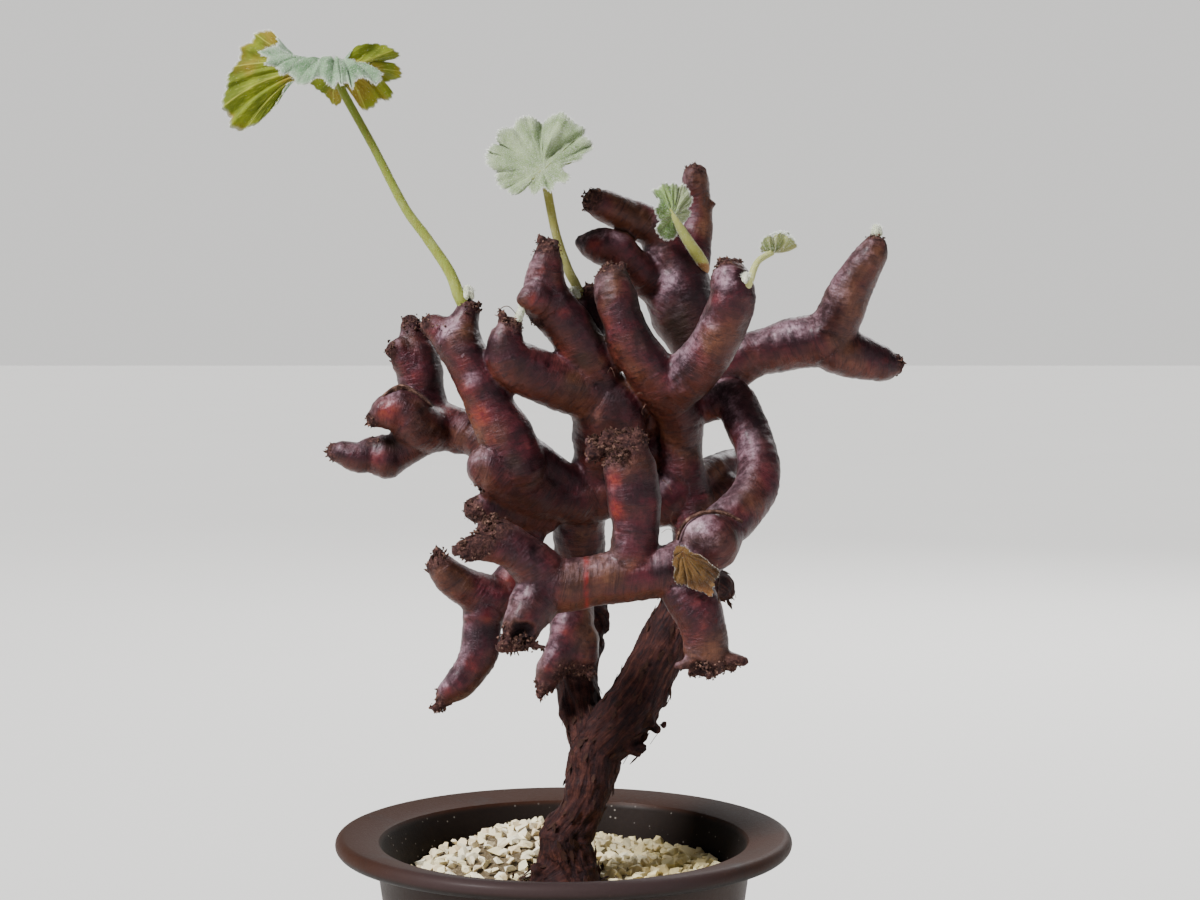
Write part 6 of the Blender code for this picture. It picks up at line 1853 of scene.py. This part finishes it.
def addPlate(verts, faces, root, direction, outward, length, width, curl):
    # A pointed chip: a wide middle, a narrow foot and a tip that curls outwards.
    outward = (outward - direction * outward.dot(direction)).normalized()
    side = direction.cross(outward)
    thick = outward * debris["thickness"] / 2
    middle = root + direction * length * 0.45 + outward * curl * 0.25
    outline = [
        root - side * width * 0.28, root + side * width * 0.28,
        middle - side * width * 0.5, middle + side * width * 0.5,
        root + direction * length + outward * curl,
    ]
    start = len(verts)
    verts += [(p + thick) * mm for p in outline] + [(p - thick) * mm for p in outline]
    top = [(0, 1, 3, 2), (2, 3, 4)]
    faces += [tuple(start + i for i in face) for face in top]
    faces += [tuple(start + 5 + i for i in reversed(face)) for face in top]
    loop = [0, 2, 4, 3, 1]
    for a, b in zip(loop, loop[1:] + loop[:1]):
        faces.append((start + a, start + b, start + 5 + b, start + 5 + a))


def surfacePicks(piece, attributeName, low, number, rng):
    # Random places where the attribute is above low, each with the surface's normal.
    values = piece.data.attributes[attributeName].data
    fitting = [v for v in piece.data.vertices
               if values[v.index].value > low and v.co.z > debris["lowest"] * mm]
    picks = [rng.choice(fitting) for _ in range(number)]
    return [(Vector(v.co) / mm, Vector(v.normal)) for v in picks]


def buildScales(wood, tips, rng):
    # Crumbs, clods, chips and threads on the dry ends, and the loose fibres.
    kinds = lumpKinds(rng)
    verts, faces = [], []
    for place, normal in surfacePicks(wood, "crust", 0.6, debris["lumps"], rng):
        if smoothNoise(place, 1.7) > -0.05:
            size = rng.uniform(*debris["lumpSize"])
            turn = Matrix.Rotation(rng.uniform(0, tau), 3, normal + Vector((0.3, 0.2, 0.5)))
            raised = rng.uniform(0, 0.5)
            addLump(verts, faces, rng.choice(kinds), place + normal * raised, turn, size)
    for place, spread, (low, high), count in stem["clods"]:
        centre, _ = sighted(*place)
        for _ in range(3 * count):
            offset = offsetWithin(rng, spread, 0.85)
            turn = Matrix.Rotation(rng.uniform(0, tau), 3, Vector((rng.random(), 0.3, rng.random())))
            size = low * 0.5 + (high * 0.85 - low * 0.5) * rng.random() ** 2
            addLump(verts, faces, rng.choice(kinds), centre + offset, turn, size)
    for place, normal in surfacePicks(wood, "crust", 0.5, debris["plates"], rng):
        direction = min(tips, key=lambda tip: (tip[0] - place).length)[1]
        pointing = (direction + normal * 0.35 + scatter(rng, 0.5)).normalized()
        length = rng.uniform(*debris["plateSize"])
        addPlate(verts, faces, place - normal * 0.15, pointing, normal, length,
                 length * rng.uniform(0.5, 0.8), rng.uniform(-0.1, 0.3))
    for place, normal in surfacePicks(wood, "crust", 0.7, debris["threads"], rng):
        pointing = (normal + scatter(rng, 0.7)).normalized()
        addHair(verts, faces, place, pointing, rng.uniform(*debris["threadLength"]), debris["threadWidth"])
    fibres = [tube("fibre", route(stations, spacing=0.3), sides=8) for stations in stem["fibres"]]
    return joined("stem_scales", [listedPiece("stem_scales", verts, faces), *fibres])


def buildFlakes(wood, limbs, rng):
    # Loose flakes along the bark, and litter on the gravel at its foot.
    verts, faces = [], []
    for place, normal in surfacePicks(wood, "bark", 0.6, debris["flakes"], rng):
        direction = nearestLimb(place, limbs)[2] * rng.choice((-1, 1))
        pointing = (direction + normal * rng.uniform(0, 0.14) + scatter(rng, 0.16)).normalized()
        length = rng.uniform(*debris["flakeSize"])
        addPlate(verts, faces, place - normal * 0.12, pointing, normal, length,
                 length * rng.uniform(0.3, 0.5), rng.uniform(-0.1, 0.2))
    for _ in range(debris["litter"]):
        angle = rng.uniform(0, tau)
        away = gravel["stemRadius"] + abs(rng.gauss(0, 1.9)) - 0.6
        spot = gravel["stem"] + Vector((cos(angle), sin(angle))) * away
        place = Vector((spot.x, spot.y, gravelHeight(spot) + rng.uniform(0.9, 1.9)))
        pointing = Vector((rng.gauss(0, 1), rng.gauss(0, 1), rng.gauss(0, 0.35))).normalized()
        length = rng.uniform(*debris["litterSize"])
        addPlate(verts, faces, place, pointing, Vector((0, 0.05, 1)), length,
                 length * rng.uniform(0.3, 0.6), rng.uniform(-0.3, 0.4))
    return listedPiece("bark_flakes", verts, faces)


def buildDebris(wood, limbs, tips):
    rng = random.Random(debris["seed"])
    scales = buildScales(wood, tips, rng)
    flakes = buildFlakes(wood, limbs, rng)
    for piece, light in ((scales, debris["scaleTone"]), (flakes, debris["flakeTone"])):
        dress(piece, flakeFinish(piece.name, light), "stem", smooth=False)
        print(piece.name + ":", len(piece.data.polygons), "faces")


def flakeFinish(name, light):
    chip = Finish(name + " chip", Specular_IOR_Level=0.2)
    speck = chip.grain(0.35, detail=3)
    half = tuple(0.37 * channel for channel in light)
    shade = chip.ramp(chip.grain(1.7, detail=3, roughness=0.6) * 0.65 + speck * 0.35,
                      [*debris["tones"], (0.55, half), (0.66, light)])
    return chip.done(Base_Color=shade, Roughness=0.75 + speck * 0.2, Normal=chip.bump(speck, 0.08))


# Putting it together.

buildStudio()
buildPot()
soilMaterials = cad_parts["soil"].data.materials
soilMaterials.clear()
soilMaterials.append(soilFinish())
buildGravel()
wood, limbs, tips = buildStem()
dress(wood, stemFinish(), "stem", "trunk_and_branches")
buildDebris(wood, limbs, tips)
buildLeaves()
